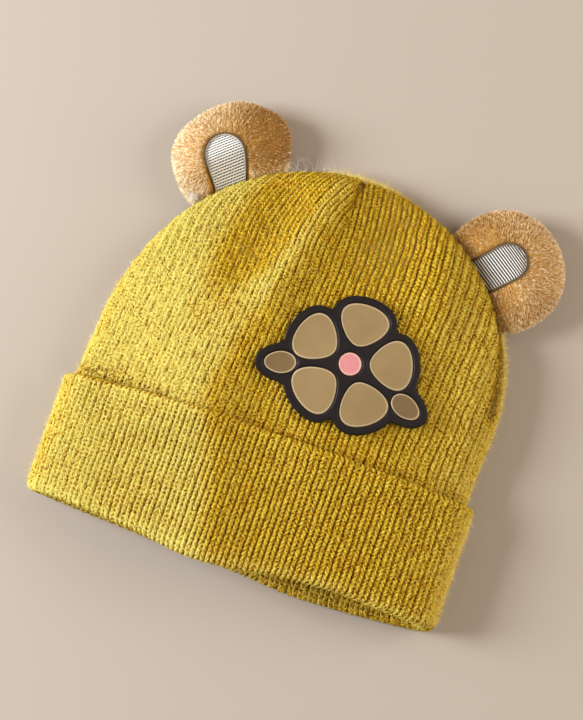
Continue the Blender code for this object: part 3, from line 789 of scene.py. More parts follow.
@dataclass
class Knit:
    """The hat's cloth: crown, turned-up cuff, lip and the inside, and its loose fibres."""

    form: HatForm = field(default_factory=HatForm)
    stitch: Stitch = field(default_factory=Stitch)
    finish: YarnFinish = field(default_factory=YarnFinish)
    filled: float = 0.34
    felted: float = 0.34
    felted_least: float = 0.02
    seam_rib: float = 21.5
    back_seam_rib: float = 63.0
    crown_depth: float = 0.00070
    cuff_depth: float = 0.00074
    tuck_depth: float = 0.0009
    tuck_fade: float = 0.0055
    # Directions towards the painted key light and the painted far light.
    key: tuple = (-0.86, -0.14, 0.49)
    far_key: tuple = (0.90, 0.10, 0.42)
    front_ribs: int = 42
    crown_lap: float = 0.007
    edge_droop: float = 0.0032
    cuff_number: float = 40.0
    cuff_roll: float = 0.0009
    fibre_count: int = 44500
    fibre_halo: float = 0.50
    halo_over_top: float = 0.42
    fibres_on_cuff: float = 0.36
    curls: int = 26
    curl_arc: tuple = (101.0, 114.0)
    tuft_hairs: int = 420
    tuft_turn: float = 141.0
    tuft_out: float = 0.0030
    tuft_height: float = 0.0052

    def __post_init__(self) -> None:
        """Works out the cloth's length up each rib and where the frame lies."""
        self.move = self.form.shift()
        ribs = np.arange(-2, self.form.ribs + 3)
        dense = np.linspace(self.form.cuff_height - self.crown_lap, self.form.pole, 700)
        lines = self.form.fabric(self.form.angle_of(ribs)[None, :], dense[:, None], 0.0)
        steps = np.linalg.norm(np.diff(lines, axis=0), axis=2)
        length = np.vstack([np.zeros(len(ribs)), np.cumsum(steps, axis=0)])
        self.rows = int(round(float(length[-1].max()) / self.stitch.row))
        shares = np.linspace(0.0, 1.0, 400)
        self.table = np.stack([np.interp(shares * up[-1], up, dense) for up in length.T], axis=1)

    def painted_light(self, points: Array) -> Array:
        """Painted light: how far the smoothed cloth turns towards the painted key light.

        Args:
            points: A grid of points without stitches.

        Returns:
            For each point a share from 0 to 1 of painted light: an S of the turn towards the key, more where
            the cloth turns to the far light, and a painted rim light where it turns steeply down.
        """
        across, along = np.gradient(points, axis=1), np.gradient(points, axis=0)
        out = unit(np.cross(across, along))
        turned = out @ unit(np.array(self.key))
        turned_away = out @ unit(np.array(self.far_key))
        pale = 0.93 * smooth((turned - 0.32) / 0.46) * (1.0 - 0.45 * smooth((turned - 0.82) / 0.18))
        rim = smooth((0.50 - out[..., 2]) / 0.45)
        return pale + 0.20 * smooth((turned_away - 0.50) / 0.30) + 0.15 * rim * (1.0 - pale)

    @staticmethod
    def painted_shade(x: Array, y: Array) -> Array:
        """Painted shade in the crown's high hollows, and painted light on its ridge.

        Args:
            x: Places across the hat.
            y: Places up the hat.

        Returns:
            A bell-shaped band along each line of PAINTED_SHADE_BANDS, added up.
        """
        dark = np.zeros(np.shape(x))
        for from_x, from_y, to_x, to_y, reach, strength in PAINTED_SHADE_BANDS:
            away = from_line(x, y, (from_x, from_y), (to_x, to_y))
            dark = dark + strength * np.exp(-((away / reach) ** 2))
        return dark

    def closing(self, level: Array) -> Array:
        """One on the crown, falling to zero where the ribs meet."""
        return smooth((self.form.pole - level) / (0.30 * self.form.dome_height))

    def level_of(self, rib: Array, row: Array) -> Array:
        """Level of a row on a rib.

        Args:
            rib: Rib numbers.
            row: Rows up the crown.

        Returns:
            The level, read between the lines worked out at the start.
        """
        column = np.clip(rib + 2.0, 0.0, self.table.shape[1] - 1.001)
        share = np.clip(row / self.rows, 0.0, 1.0) * (len(self.table) - 1.001)
        left, low = column.astype(int), share.astype(int)
        aside, above = column - left, share - low
        lower = self.table[low, left] * (1.0 - aside) + self.table[low, left + 1] * aside
        upper = self.table[low + 1, left] * (1.0 - aside) + self.table[low + 1, left + 1] * aside
        return lower * (1.0 - above) + upper * above

    def wale(self, rib: Array, level: Array, back: bool) -> tuple[Array, Array]:
        """Which knitted rib passes a point, where ribs end in the crown's seams.

        Args:
            rib: Rib number by the turn round the tube.
            level: Level of the point.
            back: For the back of the hat.

        Returns:
            The rib number on the cloth, drawn together less than the turns round the
            dome are, and a share that is 0 on a seam and 1 away from it.
        """
        climb = np.maximum(level - self.form.dome_start, 0.0) / self.form.dome_height
        ring = np.maximum(np.cos(climb), 0.0)
        middle = self.back_seam_rib if back else self.seam_rib
        away = rib - middle
        drawn = 0.0 if back else smooth((climb - 0.42) / 0.50)
        lean = np.where(away < 0.0, -2.4, 0.9) * drawn
        number = middle + away * ring**1.15 + lean
        ends = smooth(climb / 0.15)
        side = np.minimum(np.abs(rib + 0.5), np.abs(rib - self.front_ribs + 0.5))
        side = np.minimum(side, np.abs(rib - self.form.ribs + 0.5))
        seam = 1.0 - ends * np.exp(-((side / 0.7) ** 2))
        if not back:
            seam = seam * (1.0 - drawn * np.exp(-((away / 0.50) ** 2)))
        return number, seam

    def crown(self, first: int, last: int, start: int, stop: int, coarse: bool, back: bool) -> Skin:
        """Part of the crown between two furrows and two rows.

        Args:
            first: First rib.
            last: The rib after the last one.
            start: First row.
            stop: Last row.
            coarse: Uses fewer points.
            back: For the back of the hat.

        Returns:
            The surface, with rib and row numbers as its UV map.
        """
        rib, base = self.stitch.grid(first, last, start, stop, coarse)
        number, seam = self.wale(rib, self.level_of(rib, base), back)
        number = number + 0.05 * ripple(rib, base, 9.0, 5) * seam
        aside = number - np.round(number)
        row = base + self.stitch.slant * 2.0 * np.abs(aside) * seam
        level = self.level_of(rib, row)
        felted = self.felted - (self.felted - self.felted_least) * smooth((rib - 12.0) / 16.0)
        stand = self.stitch.stand(aside, base, number, row, self.filled, felted)
        closing = self.closing(level)
        stand = stand * seam * (0.25 + 0.75 * closing)
        depth = self.crown_depth * (0.55 + 0.45 * closing)
        tuck = np.exp(-(((level - self.form.cuff_height) / self.tuck_fade) ** 2))
        tuck = tuck * (0.55 + 0.45 * smooth((16.5 - rib) / 11.0))
        offset = depth * self.stitch.relief(stand) - self.tuck_depth * tuck
        # Painted shade in the groove under the cuff's free edge.
        stand = stand * (1.0 - 0.42 * tuck)
        angle = self.form.angle_of(rib)
        points = above_floor(self.form.fabric(angle, level, offset) + self.move)
        # Painted light on the crown, weaker high up, less the painted shade of the crown's bands.
        tone = self.painted_light(self.form.fabric(angle, level, 0.0))
        high = smooth((level - self.form.dome_start + 0.015) / (0.55 * self.form.dome_height))
        tone = tone * (1.0 - 0.60 * high * smooth((rib - 7.5) / 4.5) * smooth((34.0 - rib) / 6.0))
        tone = tone - self.painted_shade(points[..., 0] - self.move[0], points[..., 1] - self.move[1])
        uv = np.stack([number, row], axis=-1).reshape(-1, 2)
        return Skin(points.reshape(-1, 3), grid_faces(*rib.shape), uv, stand.ravel(), tone.ravel())

    def cuff_path(self, along: Array) -> tuple[Array, Array, Array, Array]:
        """The cuff's section, from its free edge down the face, round the lip and up inside.

        Args:
            along: Distances along the section.

        Returns:
            Level and offset of each point, and the section's normal as level and offset.
            The free edge and the lip are half circles and the rest is straight.
        """
        edge, bend, top, ends = self.section
        turn = np.clip(along / edge, 0.0, math.pi)
        under = np.clip((along - ends[1]) / bend, 0.0, math.pi)
        down = np.clip(along - ends[0], 0.0, ends[1] - ends[0])
        level = top + edge * np.sin(turn) - down - bend * np.sin(under) + np.maximum(along - ends[2], 0.0)
        offset = self.form.cuff_gap + edge - edge * np.cos(turn) - bend * (1.0 - np.cos(under))
        low = along > ends[1]
        normal_level = np.where(low, -np.sin(under), np.sin(turn))
        normal_offset = np.where(low, np.cos(under), -np.cos(turn))
        return level, offset, normal_level, normal_offset

    @property
    def section(self) -> tuple[float, float, float, Array]:
        """The cuff's section in numbers.

        Returns:
            Radii of the free edge and of the lip, the free edge's level, and how far
            along the section the free edge, the face and the lip end.
        """
        edge = self.form.wall / 2
        bend = self.form.wall + self.form.cuff_gap / 2
        top = self.form.cuff_height - edge
        return edge, bend, top, np.cumsum([math.pi * edge, top - bend, math.pi * bend])

    @property
    def section_rows(self) -> tuple[int, int, int]:
        """The cuff's section in rows of stitches.

        Returns:
            Rows at the lip's start, at its end and at the cuff's top inside.
        """
        _, bend, _, ends = self.section
        inside = ends[2] + self.form.cuff_height - bend
        return tuple(int(round(length / self.stitch.row)) for length in (ends[1], ends[2], inside))

    def cuff(self, first: int, last: int, start: int, stop: int, coarse: bool) -> Skin:
        """Part of the cuff between two furrows and two rows of its section.

        Args:
            first: First rib.
            last: The rib after the last one.
            start: First row along the section.
            stop: Last row.
            coarse: Uses fewer points.

        Returns:
            The surface. Each stitch stands out along the section's normal.
        """
        rib, base = self.stitch.grid(first, last, start, stop, coarse)
        number = rib + 0.04 * ripple(rib, base, 8.0, 6) + self.cuff_number
        aside = number - np.round(number)
        row = base + self.stitch.slant * (2.0 * np.abs(aside) - 0.5)
        level, offset, normal_level, normal_offset = self.cuff_path(np.maximum(row, 0.0) * self.stitch.row)
        stand = self.stitch.stand(aside, base, number, row)
        roll = np.exp(-(((row * self.stitch.row - 0.0022) / 0.0026) ** 2))
        mouth = np.exp(-(((row - self.section_rows[0] - 1.5) / 2.0) ** 2))
        rise = self.cuff_depth * self.stitch.relief(stand) * (1.0 - 0.6 * roll - 0.45 * mouth)
        rise = rise + self.cuff_roll * roll
        angle = self.form.angle_of(rib)
        droop = self.edge_droop * curve(-np.cos(angle), EDGE_DROOP)
        level = level - droop * smooth(level / self.form.cuff_height)
        # Painted light; the lip's edge gets a painted highlight on the front.
        tone = self.painted_light(self.form.fabric(angle, level, offset)[:, ::-1])[:, ::-1]
        tone = tone * 0.90 + 0.40 * mouth * ((rib < self.front_ribs) | (rib > self.form.ribs - 12))
        level = level + normal_level * rise
        offset = offset + normal_offset * rise
        points = above_floor(self.form.fabric(angle, level, offset) + self.move)
        uv = np.stack([number, row], axis=-1).reshape(-1, 2)
        return Skin(points.reshape(-1, 3), grid_faces(*rib.shape, flip=True), uv, stand.ravel(), tone.ravel())

    def inside_dome(self) -> Skin:
        """The inside of the crown above the cuff, seen only through the mouth.

        Returns:
            The crown's form a wall further in, with ribs that stand inwards.
        """
        ribs = np.arange(self.form.ribs * 2 + 1) / 2.0 - 0.5
        rows = np.linspace(0.0, self.rows, 72)
        rib, row = np.meshgrid(ribs, rows)
        level = self.level_of(rib, row) - 0.0005
        aside = rib - np.round(rib)
        stand = self.stitch.stand(aside, row, rib, row)
        offset = -self.form.wall - self.crown_depth * self.closing(level) * (2.0 * stand - 1.0)
        points = self.form.fabric(self.form.angle_of(rib), level, offset) + self.move
        uv = np.stack([rib, row], axis=-1).reshape(-1, 2)
        return Skin(points.reshape(-1, 3), grid_faces(*rib.shape, flip=True), uv, stand.ravel())

    def fibres(self, count: int, halo: float, seed: int) -> Skin:
        """Loose fibres that stand off the yarn.

        Args:
            count: Number of fibres.
            halo: Share of them that stands along the hat's outline, longer than the rest.
            seed: Picks their places.

        Returns:
            Thin tapered ribbons of three faces, rooted on the ribs.
        """
        draw = np.random.default_rng(seed)
        edge = draw.random(count) < halo
        near_fold = draw.normal(0.1, 0.55, count)
        left = draw.random(count) < 0.5
        rib = np.where(left, near_fold - 1.0, self.front_ribs - near_fold)
        rib = np.where(edge, rib, draw.uniform(-1.0, self.front_ribs, count))
        over_top = edge & (draw.random(count) < self.halo_over_top)
        rib = np.where(over_top, draw.uniform(0.0, self.front_ribs - 1.0, count), rib)
        on_cuff = (draw.random(count) < self.fibres_on_cuff) & ~over_top
        row = draw.uniform(2.0, 0.86 * self.rows, count)
        row = np.where(over_top, draw.uniform(0.86, 0.99, count) * self.rows, row)
        crown_level = self.level_of(rib, row)
        cuff_level = draw.uniform(0.003, 0.95 * self.form.cuff_height, count)
        level = np.where(on_cuff, cuff_level, crown_level)
        lift = np.where(on_cuff, self.form.cuff_out, 0.0) + 0.0002
        angle = self.form.angle_of(rib)
        root = self.form.fabric(angle, level, lift)
        out = unit(self.form.fabric(angle, level, lift + 0.0006) - root)
        up = unit(self.form.fabric(angle, level + 0.0006, lift) - root)
        side = unit(np.cross(up, out))
        turn = draw.uniform(0.0, FULL_TURN, count)[:, None]
        flat = np.cos(turn) * up + np.sin(turn) * side
        rise = draw.uniform(0.05, 0.80, count)[:, None] ** 1.3 + 0.85 * edge[:, None]
        ahead = unit(flat + rise * out)
        bend = draw.normal(0.0, 0.35, (count, 3)) - 0.25 * out
        length = draw.uniform(0.0010, 0.0028, count) * (1.0 + 0.65 * edge)
        half = draw.uniform(0.000040, 0.000075, count) * (1.0 + 0.20 * edge)
        # Fibres along the outline are paler: painted rim light.
        tone = draw.random(count) * np.where(edge, 0.35, 1.0) + np.where(edge, 0.65, 0.0)
        return hairs(root + self.move, ahead, bend, length, half, draw, tone)

    def loose_curls(self) -> Skin:
        """A few long curled fibres that stick out beside the left ear.

        Returns:
            Ribbons of 20 points a side, each along a spiral that opens as it climbs.
        """
        draw = np.random.default_rng(61)
        strands, steps = self.curls, 20
        share = np.linspace(0.0, 1.0, steps)[None, :]
        turn = draw.uniform(*self.curl_arc, (strands, 1))
        form = self.form
        root_x = form.crown_lean + form.half_width * np.cos(np.radians(turn))
        root_y = form.dome_start + (form.dome_height - 0.001) * np.sin(np.radians(turn))
        spin = draw.uniform(-11.0, 11.0, (strands, 1)) * share + draw.uniform(0.0, 6.3, (strands, 1))
        size = draw.uniform(0.0016, 0.0044, (strands, 1)) * share**0.7
        reach = draw.uniform(0.001, 0.009, (strands, 1)) * share
        aim = np.radians(turn + draw.normal(0.0, 26.0, (strands, 1)))
        x = root_x + reach * np.cos(aim) + size * np.cos(spin)
        y = root_y + reach * np.sin(aim) + size * np.sin(spin)
        z = form.fold_radius + 0.004 + 0.5 * reach + 0.4 * size * np.sin(1.3 * spin)
        middle = np.stack([x, y, z], axis=-1)
        ahead = unit(np.gradient(middle, axis=1))
        side = unit(np.cross(ahead, [0.0, 0.0, 1.0])) * (0.000034 * (1.1 - share))[..., None]
        points = np.stack([middle - side, middle + side], axis=2) + self.move
        first = (np.arange(strands)[:, None] * steps + np.arange(steps - 1)).reshape(-1, 1) * 2
        faces = first + np.array([[0, 1, 3, 2]])
        tone = np.full(strands * steps * 2, 0.95)
        return Skin(points.reshape(-1, 3), faces, None, None, tone)

    def tuft(self) -> Skin:
        """A wisp of white lint caught between the crown and the left ear.

        Returns:
            Short hairs that leave one place in every direction.
        """
        draw = np.random.default_rng(62)
        count, turn, form = self.tuft_hairs, math.radians(self.tuft_turn), self.form
        x = form.crown_lean + (form.half_width + self.tuft_out) * math.cos(turn)
        y = form.dome_start + (form.dome_height + self.tuft_out) * math.sin(turn)
        place = np.array([x, y, form.fold_radius + self.tuft_height])
        away = unit(draw.normal(0.0, 1.0, (count, 3)))
        root = place + away * draw.uniform(0.0, 0.0011, count)[:, None]
        bend = draw.normal(0.0, 0.8, (count, 3))
        length = draw.uniform(0.0010, 0.0026, count)
        half = draw.uniform(0.00004, 0.00008, count)
        return hairs(root + self.move, away, bend, length, half, draw)

    def build(self) -> None:
        """Makes every knitted piece."""
        yarn = self.finish.material("mustard_yarn")
        # A darker copy of the yarn paints shade inside the hat.
        inner = self.finish.material("mustard_yarn_inside_shaded", 0.95)
        over = int(0.80 * self.rows)
        ribs, half = self.form.ribs, self.front_ribs // 2
        lip, rise, deep = self.section_rows
        pieces = {
            "crown_front_left_knit": self.crown(0, half, 0, over, False, False),
            "crown_front_right_knit": self.crown(half, self.front_ribs, 0, over, False, False),
            "crown_top_knit": self.crown(0, self.front_ribs, over, self.rows, True, False),
            "crown_back_knit": self.crown(self.front_ribs, ribs, 0, self.rows, True, True),
            "cuff_front_knit": self.cuff(0, self.front_ribs, 0, rise, False),
            "cuff_back_knit": self.cuff(self.front_ribs, ribs, 0, rise, True),
        }
        for name, skin in pieces.items():
            skin.make(name, yarn, Slot.KNIT, "knit_body")
        self.cuff(0, ribs, rise, deep + 1, True).make("cuff_inside_knit", inner, Slot.KNIT, "knit_body")
        self.inside_dome().make("crown_inside_knit", inner, Slot.KNIT, "knit_body")
        fuzz = self.finish.fuzz("mustard_fibre")
        self.fibres(self.fibre_count, self.fibre_halo, 31).make("knit_fibres", fuzz, Slot.KNIT)
        self.loose_curls().make("loose_curls", self.finish.lint("grey_lint"), Slot.KNIT)
        self.tuft().make("pale_tuft", self.finish.lint("pale_lint"), Slot.KNIT)


def hairs(
    root: Array,
    ahead: Array,
    bend: Array,
    length: Array,
    half: Array,
    draw: np.random.Generator,
    tone: Array | None = None,
) -> Skin:
    """Many curved, tapered hairs as one mesh of triangles.

    Args:
        root: Where each hair begins.
        ahead: Unit direction of each root.
        bend: How far each tip is carried aside, as a share of its length.
        length: Lengths.
        half: Half-widths at the roots.
        draw: Source of the ribbons' turns.
        tone: Lightness of each hair, or None for random ones.

    Returns:
        Five points to a hair: pairs at the root and halfway, and the tip. Each lies
        at root + length * (t * ahead + t * t * bend), or on the floor under that.
    """
    count = len(root)
    across = unit(np.cross(ahead, unit(draw.normal(0.0, 1.0, (count, 3)))))
    points = np.empty((count, 5, 3))
    for index, (share, side) in enumerate(((0.0, -1.0), (0.0, 1.0), (0.5, -0.8), (0.5, 0.8), (1.0, 0.0))):
        middle = root + length[:, None] * (share * ahead + share * share * bend)
        points[:, index] = middle + side * half[:, None] * across
    first = np.arange(count)[:, None, None] * 5
    faces = first + np.array([[0, 1, 3], [0, 3, 2], [2, 3, 4]])
    shade = np.tile([0.0, 0.0, 0.55, 0.55, 1.0], count)
    tone = draw.random(count) if tone is None else tone
    return Skin(above_floor(points.reshape(-1, 3)), faces.reshape(-1, 3), None, shade, np.repeat(tone, 5))


@dataclass(frozen=True)
class PlushFinish:
    """Short tan plush: orange-brown at the roots, cream at the tips."""

    root: tuple = (0.280, 0.105, 0.008)
    middle: tuple = (0.610, 0.360, 0.095)
    tip: tuple = (0.980, 0.830, 0.580)

    def cloth(self, name: str) -> bpy.types.Material:
        """The ground that the pile grows on.

        Args:
            name: Name of the material.

        Returns:
            A matt cloth between the roots' colour and the middle one, stirred by noise.
        """
        recipe = Recipe(name)
        place = recipe.place()
        grain = recipe.noise(place, 1500.0, 3.0, 0.6)
        cloud = recipe.noise(place, 160.0, 2.0)
        value = (grain * 0.6 + cloud * 0.4).clamp()
        colour = recipe.ramp(value, ((0.25, self.root), (0.75, self.middle)))
        bump = recipe.bump(grain, 0.0004)
        return recipe.finish(Base_Color=colour, Roughness=0.95, Specular_IOR_Level=0.1, Normal=bump)

    def pile(self, name: str) -> bpy.types.Material:
        """The pile's hairs.

        Args:
            name: Name of the material.

        Returns:
            A soft shader whose colour follows each hair's tone and lightens to its tip.
        """
        recipe = Recipe(name)
        value = recipe.attribute("shade") * 0.56 + recipe.attribute("tone") * 0.76 - 0.14
        colour = recipe.ramp(value.clamp(), ((0.05, self.root), (0.48, self.middle), (1.0, self.tip)))
        return recipe.finish(
            Base_Color=colour,
            Roughness=0.60,
            Specular_IOR_Level=0.25,
            Sheen_Weight=0.35,
            Sheen_Tint=(1.0, 0.90, 0.75, 1.0),
        )


@dataclass(frozen=True)
class SatinFinish:
    """The insert's cream cords, with painted shade in the gaps and a painted highlight on their crests, the
    threads that bind its edge, and a dark thread that paints the shadow round the binding.
    """

    # Painted shade between the cords.
    gap: tuple = (0.022, 0.018, 0.016)
    cord: tuple = (0.860, 0.840, 0.810)
    painted_cord_highlight: tuple = (0.970, 0.960, 0.950)
    # Colour of the cord that paints the shadow round the binding.
    painted_shadow_thread: tuple = (0.130, 0.080, 0.040)

    def weave(self, name: str, dotted: bool) -> bpy.types.Material:
        """The corded weave.

        Args:
            name: Name of the material.
            dotted: Breaks each gap into a row of dots, staggered from row to row.

        Returns:
            A satin whose colour follows the distance from the nearest gap: painted shade in the gaps and a
            painted highlight on the cords' crests.
        """
        recipe = Recipe(name)
        across, along = recipe.uv()
        gap = (along * math.pi).math("SINE").math("ABSOLUTE")
        if dotted:
            stagger = ((along + 0.5).math("FLOOR") * 0.5 + across).math("FRACT")
            dot = (stagger * math.pi).math("SINE").math("ABSOLUTE")
            gap = 1.0 - (1.0 - gap) * (1.0 - dot * 0.60)
        thread = recipe.noise(recipe.vector(across * 30.0, along * 3.0), 2.0, 2.0) - 0.5
        value = gap + thread * 0.6
        dark, light = (0.60, 0.86) if dotted else (0.72, 0.88)
        # Painted shade in the gaps, painted highlight on the crests.
        stops = ((dark, self.gap), (light, self.cord), (1.0, self.painted_cord_highlight))
        return recipe.finish(
            Base_Color=recipe.ramp(value.clamp(), stops),
            Roughness=0.42,
            Specular_IOR_Level=0.5,
            Sheen_Weight=0.15,
            Normal=recipe.bump(thread, 0.0003),
        )

    def edge(self, name: str, colour: tuple) -> bpy.types.Material:
        """Close stitches, laid aslant round a binding thread.

        Args:
            name: Name of the material.
            colour: The thread's colour.

        Returns:
            The colour, darkened by a sine that winds round the thread and along it.
        """
        recipe = Recipe(name)
        round_cord, along = recipe.uv()
        twist = ((along + round_cord * 0.8) * FULL_TURN).math("SINE") * 0.5 + 0.5
        colour = recipe.ramp(twist, ((0.0, tuple(0.35 * part for part in colour)), (0.7, colour)))
        return recipe.finish(Base_Color=colour, Roughness=0.6, Normal=recipe.bump(twist, 0.00012))


class Side(Enum):
    """The two ears, as the front shows them."""

    LEFT = "left"
    RIGHT = "right"


@dataclass
class Ear:
    """A stuffed plush disc with a woven insert.

    place and foot are angles round the crown in degrees, at which the ear's middle and
    the insert's foot lie; turn is the insert's direction and reach its length as a
    share of the radius; weave_turn is the direction across its cords and pitch their
    spacing. painted_shade_spots holds places of painted shade on the pile, where the ear
    turns from the light and where it lies in the crown's shadow, and of painted light where
    the strength is below zero: x and y from the ear's middle, size and strength. The left
    ear's large dark spot is partly the pile's lie as well.
    """

    side: Side
    form: HatForm
    place: float
    foot: float
    turn: float
    reach: float
    weave_turn: float
    pitch: float
    foot_width: float
    painted_shade_spots: tuple
    insert_half: float
    stands_out: float
    thread: tuple
    radius: float = 0.0278
    rim_height: float = 0.0082
    top: float = 0.0125
    floor_gap: float = 0.0002
    dish: float = 0.0026
    gap: float = 0.0004
    tuck: float = 0.0022
    pile: float = 0.0009
    hairs: int = 30000
    dot_pitch: float = 0.0014
    bead_pitch: float = 0.0012
    thread_pitch: float = 0.00045
    front_power: float = 2.4
    front_round: float = 0.55
    back_power: float = 4.0
    sewn_depth: float = 0.0040
    sewn_fade: float = 0.0026
    weave_lift: float = 0.0006
    weave_swell: float = 0.0005
    cord_height: float = 0.0003

    def __post_init__(self) -> None:
        """Places the ear and its insert."""
        self.move = self.form.shift()
        self.centre = self.round_dome(self.place, self.stands_out)
        self.foot_point = self.round_dome(self.foot, self.gap)
        turn = math.radians(self.turn)
        self.ahead = np.array([math.cos(turn), math.sin(turn)])
        self.aside = np.array([math.sin(turn), -math.cos(turn)])
        self.length = self.reach * self.radius

    def round_dome(self, degrees: float, out: float) -> Array:
        """A plan point beside the crown.

        Args:
            degrees: Angle round the dome, counted from its right.
            out: Distance outside the crown's edge.

        Returns:
            The point at that angle of an ellipse larger than the crown's by that much.
        """
        form, turn = self.form, math.radians(degrees)
        x = form.crown_lean + (form.half_width + out) * math.cos(turn)
        return np.array([x, form.dome_start + (form.dome_height + out) * math.sin(turn)])

    def rim(self, angles: Array) -> Array:
        """Distance from the middle to the rim in each direction."""
        return self.radius * curve(np.degrees(angles) % 360.0, EAR_OUTLINES[self.side.value])

    def extent(self, angles: Array, grow: float) -> Array:
        """Distance to the rim, or to the crown's edge where that is nearer.

        Args:
            angles: Directions from the middle.
            grow: How far outside the rim it counts.

        Returns:
            The nearer root of each ray's quadratic with the crown's ellipse, or the rim.
        """
        form, rim = self.form, self.rim(angles) + grow
        wide, tall = form.half_width - self.tuck, form.dome_height - self.tuck
        x = (self.centre[0] - form.crown_lean) / wide
        y = (self.centre[1] - form.dome_start) / tall
        dx, dy = np.cos(angles) / wide, np.sin(angles) / tall
        a, b, c = dx**2 + dy**2, x * dx + y * dy, x**2 + y**2 - 1.0
        root = b**2 - a * c
        hit = (-b - np.sqrt(np.maximum(root, 0.0))) / a
        return np.where((root > 0.0) & (hit > 0.0), np.minimum(hit, rim), rim)

    def outside_crown(self, x: Array, y: Array) -> Array:
        """Distance outside the crown's outline in plan.

        Args:
            x: Places across the hat.
            y: Places up the hat.

        Returns:
            How far a place's share of the ellipse is beyond 1, times the mean radius.
        """
        form = self.form
        across, up = (x - form.crown_lean) / form.half_width, (y - form.dome_start) / form.dome_height
        return (np.sqrt(across**2 + up**2) - 1.0) * 0.5 * (form.half_width + form.dome_height)

    def outside_insert(self, x: Array, y: Array) -> Array:
        """Distance outside the insert in plan.

        Args:
            x: Places across the hat.
            y: Places up the hat.

        Returns:
            The distance from a straight strip with a round tip, below zero inside it.
        """
        from_foot = np.stack([x, y], axis=-1) - self.foot_point
        beyond = np.maximum(from_foot @ self.ahead - (self.length - self.insert_half), 0.0)
        return np.hypot(beyond, from_foot @ self.aside) - self.insert_half

    def rim_share(self, x: Array, y: Array) -> Array:
        """Zero in the middle and one at the rim."""
        away = np.stack([x - self.centre[0], y - self.centre[1]])
        return np.hypot(*away) / self.rim(np.arctan2(away[1], away[0]))

    def front(self, x: Array, y: Array) -> Array:
        """Height of the ear's front.

        Args:
            x: Places across the hat.
            y: Places up the hat.

        Returns:
            A cushion, 1 less the rim's share to a power, pinched and sewn down at the
            crown and dished under the insert.
        """
        cushion = np.clip(1.0 - self.rim_share(x, y) ** self.front_power, 0.0, 1.0) ** self.front_round
        outside = self.outside_crown(x, y)
        pinch = 0.20 + 0.80 * smooth(outside / (0.60 * self.radius) + 0.06)
        edge = self.outside_insert(x, y) / (0.38 * self.insert_half)
        dish = self.dish * (1.0 - smooth(edge + 0.3))
        sewn = self.sewn_depth * np.exp(-np.maximum(outside + self.tuck, 0.0) / self.sewn_fade)
        return self.rim_height + self.top * cushion * pinch - dish * smooth(cushion / 0.5) - sewn

    def back(self, x: Array, y: Array) -> Array:
        """Height of the ear's back.

        Args:
            x: Places across the hat.
            y: Places up the hat.

        Returns:
            Level on the floor, rising to the rim and to where the ear is sewn on.
        """
        cushion = np.sqrt(np.clip(1.0 - self.rim_share(x, y) ** self.back_power, 0.0, 1.0))
        pinch = 0.55 + 0.45 * smooth(self.outside_crown(x, y) / (0.42 * self.radius))
        return self.rim_height - (self.rim_height - self.floor_gap) * cushion * pinch

    def surface(self, angles: Array, turn: Array, sunk: float) -> Array:
        """Points of the cushion.

        Args:
            angles: Directions from the middle.
            turn: From 0 in the middle of the front, through pi/2 at the rim, to pi.
            sunk: Depth below the tips of the pile.

        Returns:
            The distance from the middle is the extent times the sine of turn.
        """
        distance = self.extent(angles, -sunk) * np.sin(turn)
        x = self.centre[0] + distance * np.cos(angles)
        y = self.centre[1] + distance * np.sin(angles)
        ahead = np.cos(turn) >= 0.0
        keep = 1.0 - sunk / self.top
        high = self.rim_height + (self.front(x, y) - self.rim_height) * keep
        low = self.rim_height + (self.back(x, y) - self.rim_height) * (1.0 - 0.7 * sunk / self.rim_height)
        return np.stack([x, y, np.where(ahead, high, low)], axis=-1)

    def cushion(self) -> Skin:
        """The ground cloth under the pile.

        Returns:
            Rings of points from the middle of the front to that of the back.
        """
        angles = np.linspace(0.0, FULL_TURN, 120, endpoint=False)
        angle, turn = np.meshgrid(angles, np.linspace(0.0, math.pi, 58)[1:-1])
        rings = self.surface(angle, turn, self.pile)
        poles = self.surface(np.zeros(2), np.array([0.0, math.pi]), self.pile)
        points = np.concatenate([rings.reshape(-1, 3), poles]) + self.move
        return Skin(points, ring_faces(*angle.shape, last_pole=True, flip=True))

    def coat(self, seed: int) -> Skin:
        """The pile: hairs that lie outwards from the crown and the insert.

        Args:
            seed: Picks their places.

        Returns:
            Tapered hairs rooted on the ground cloth. Neighbours lean and are toned
            alike, in locks a few millimetres wide.
        """
        draw = np.random.default_rng(seed)
        angle = draw.uniform(0.0, FULL_TURN, self.hairs)
        turn = np.arccos(1.0 - draw.uniform(0.0, 1.45, self.hairs))
        root = self.surface(angle, turn, self.pile)
        beside = self.surface(angle + 0.01, turn, self.pile)
        beyond = self.surface(angle, turn + 0.01, self.pile)
        out = unit(np.cross(unit(beyond - root), unit(beside - root)))
        away = unit(beyond - root)
        across = unit(np.cross(out, away))
        lock = ripple(root[:, 0], root[:, 1] + root[:, 2], 0.0042, seed + 1)
        swirl = ripple(root[:, 0], root[:, 1], 0.016, seed + 2)
        lean = away + (0.38 * lock + 0.35 * swirl)[:, None] * across
        rim = np.exp(-((np.cos(turn) / 0.30) ** 2))
        ahead = unit(lean + (0.75 + 0.4 * rim)[:, None] * out + draw.normal(0.0, 0.20, root.shape))
        bend = 0.20 * away - 0.30 * out
        length = self.pile * draw.uniform(1.3, 2.0, self.hairs) * (1.0 + 0.5 * rim)
        tone = 0.62 + 0.26 * ripple(root[:, 0] * 1.7, root[:, 1], 0.0030, seed + 3)
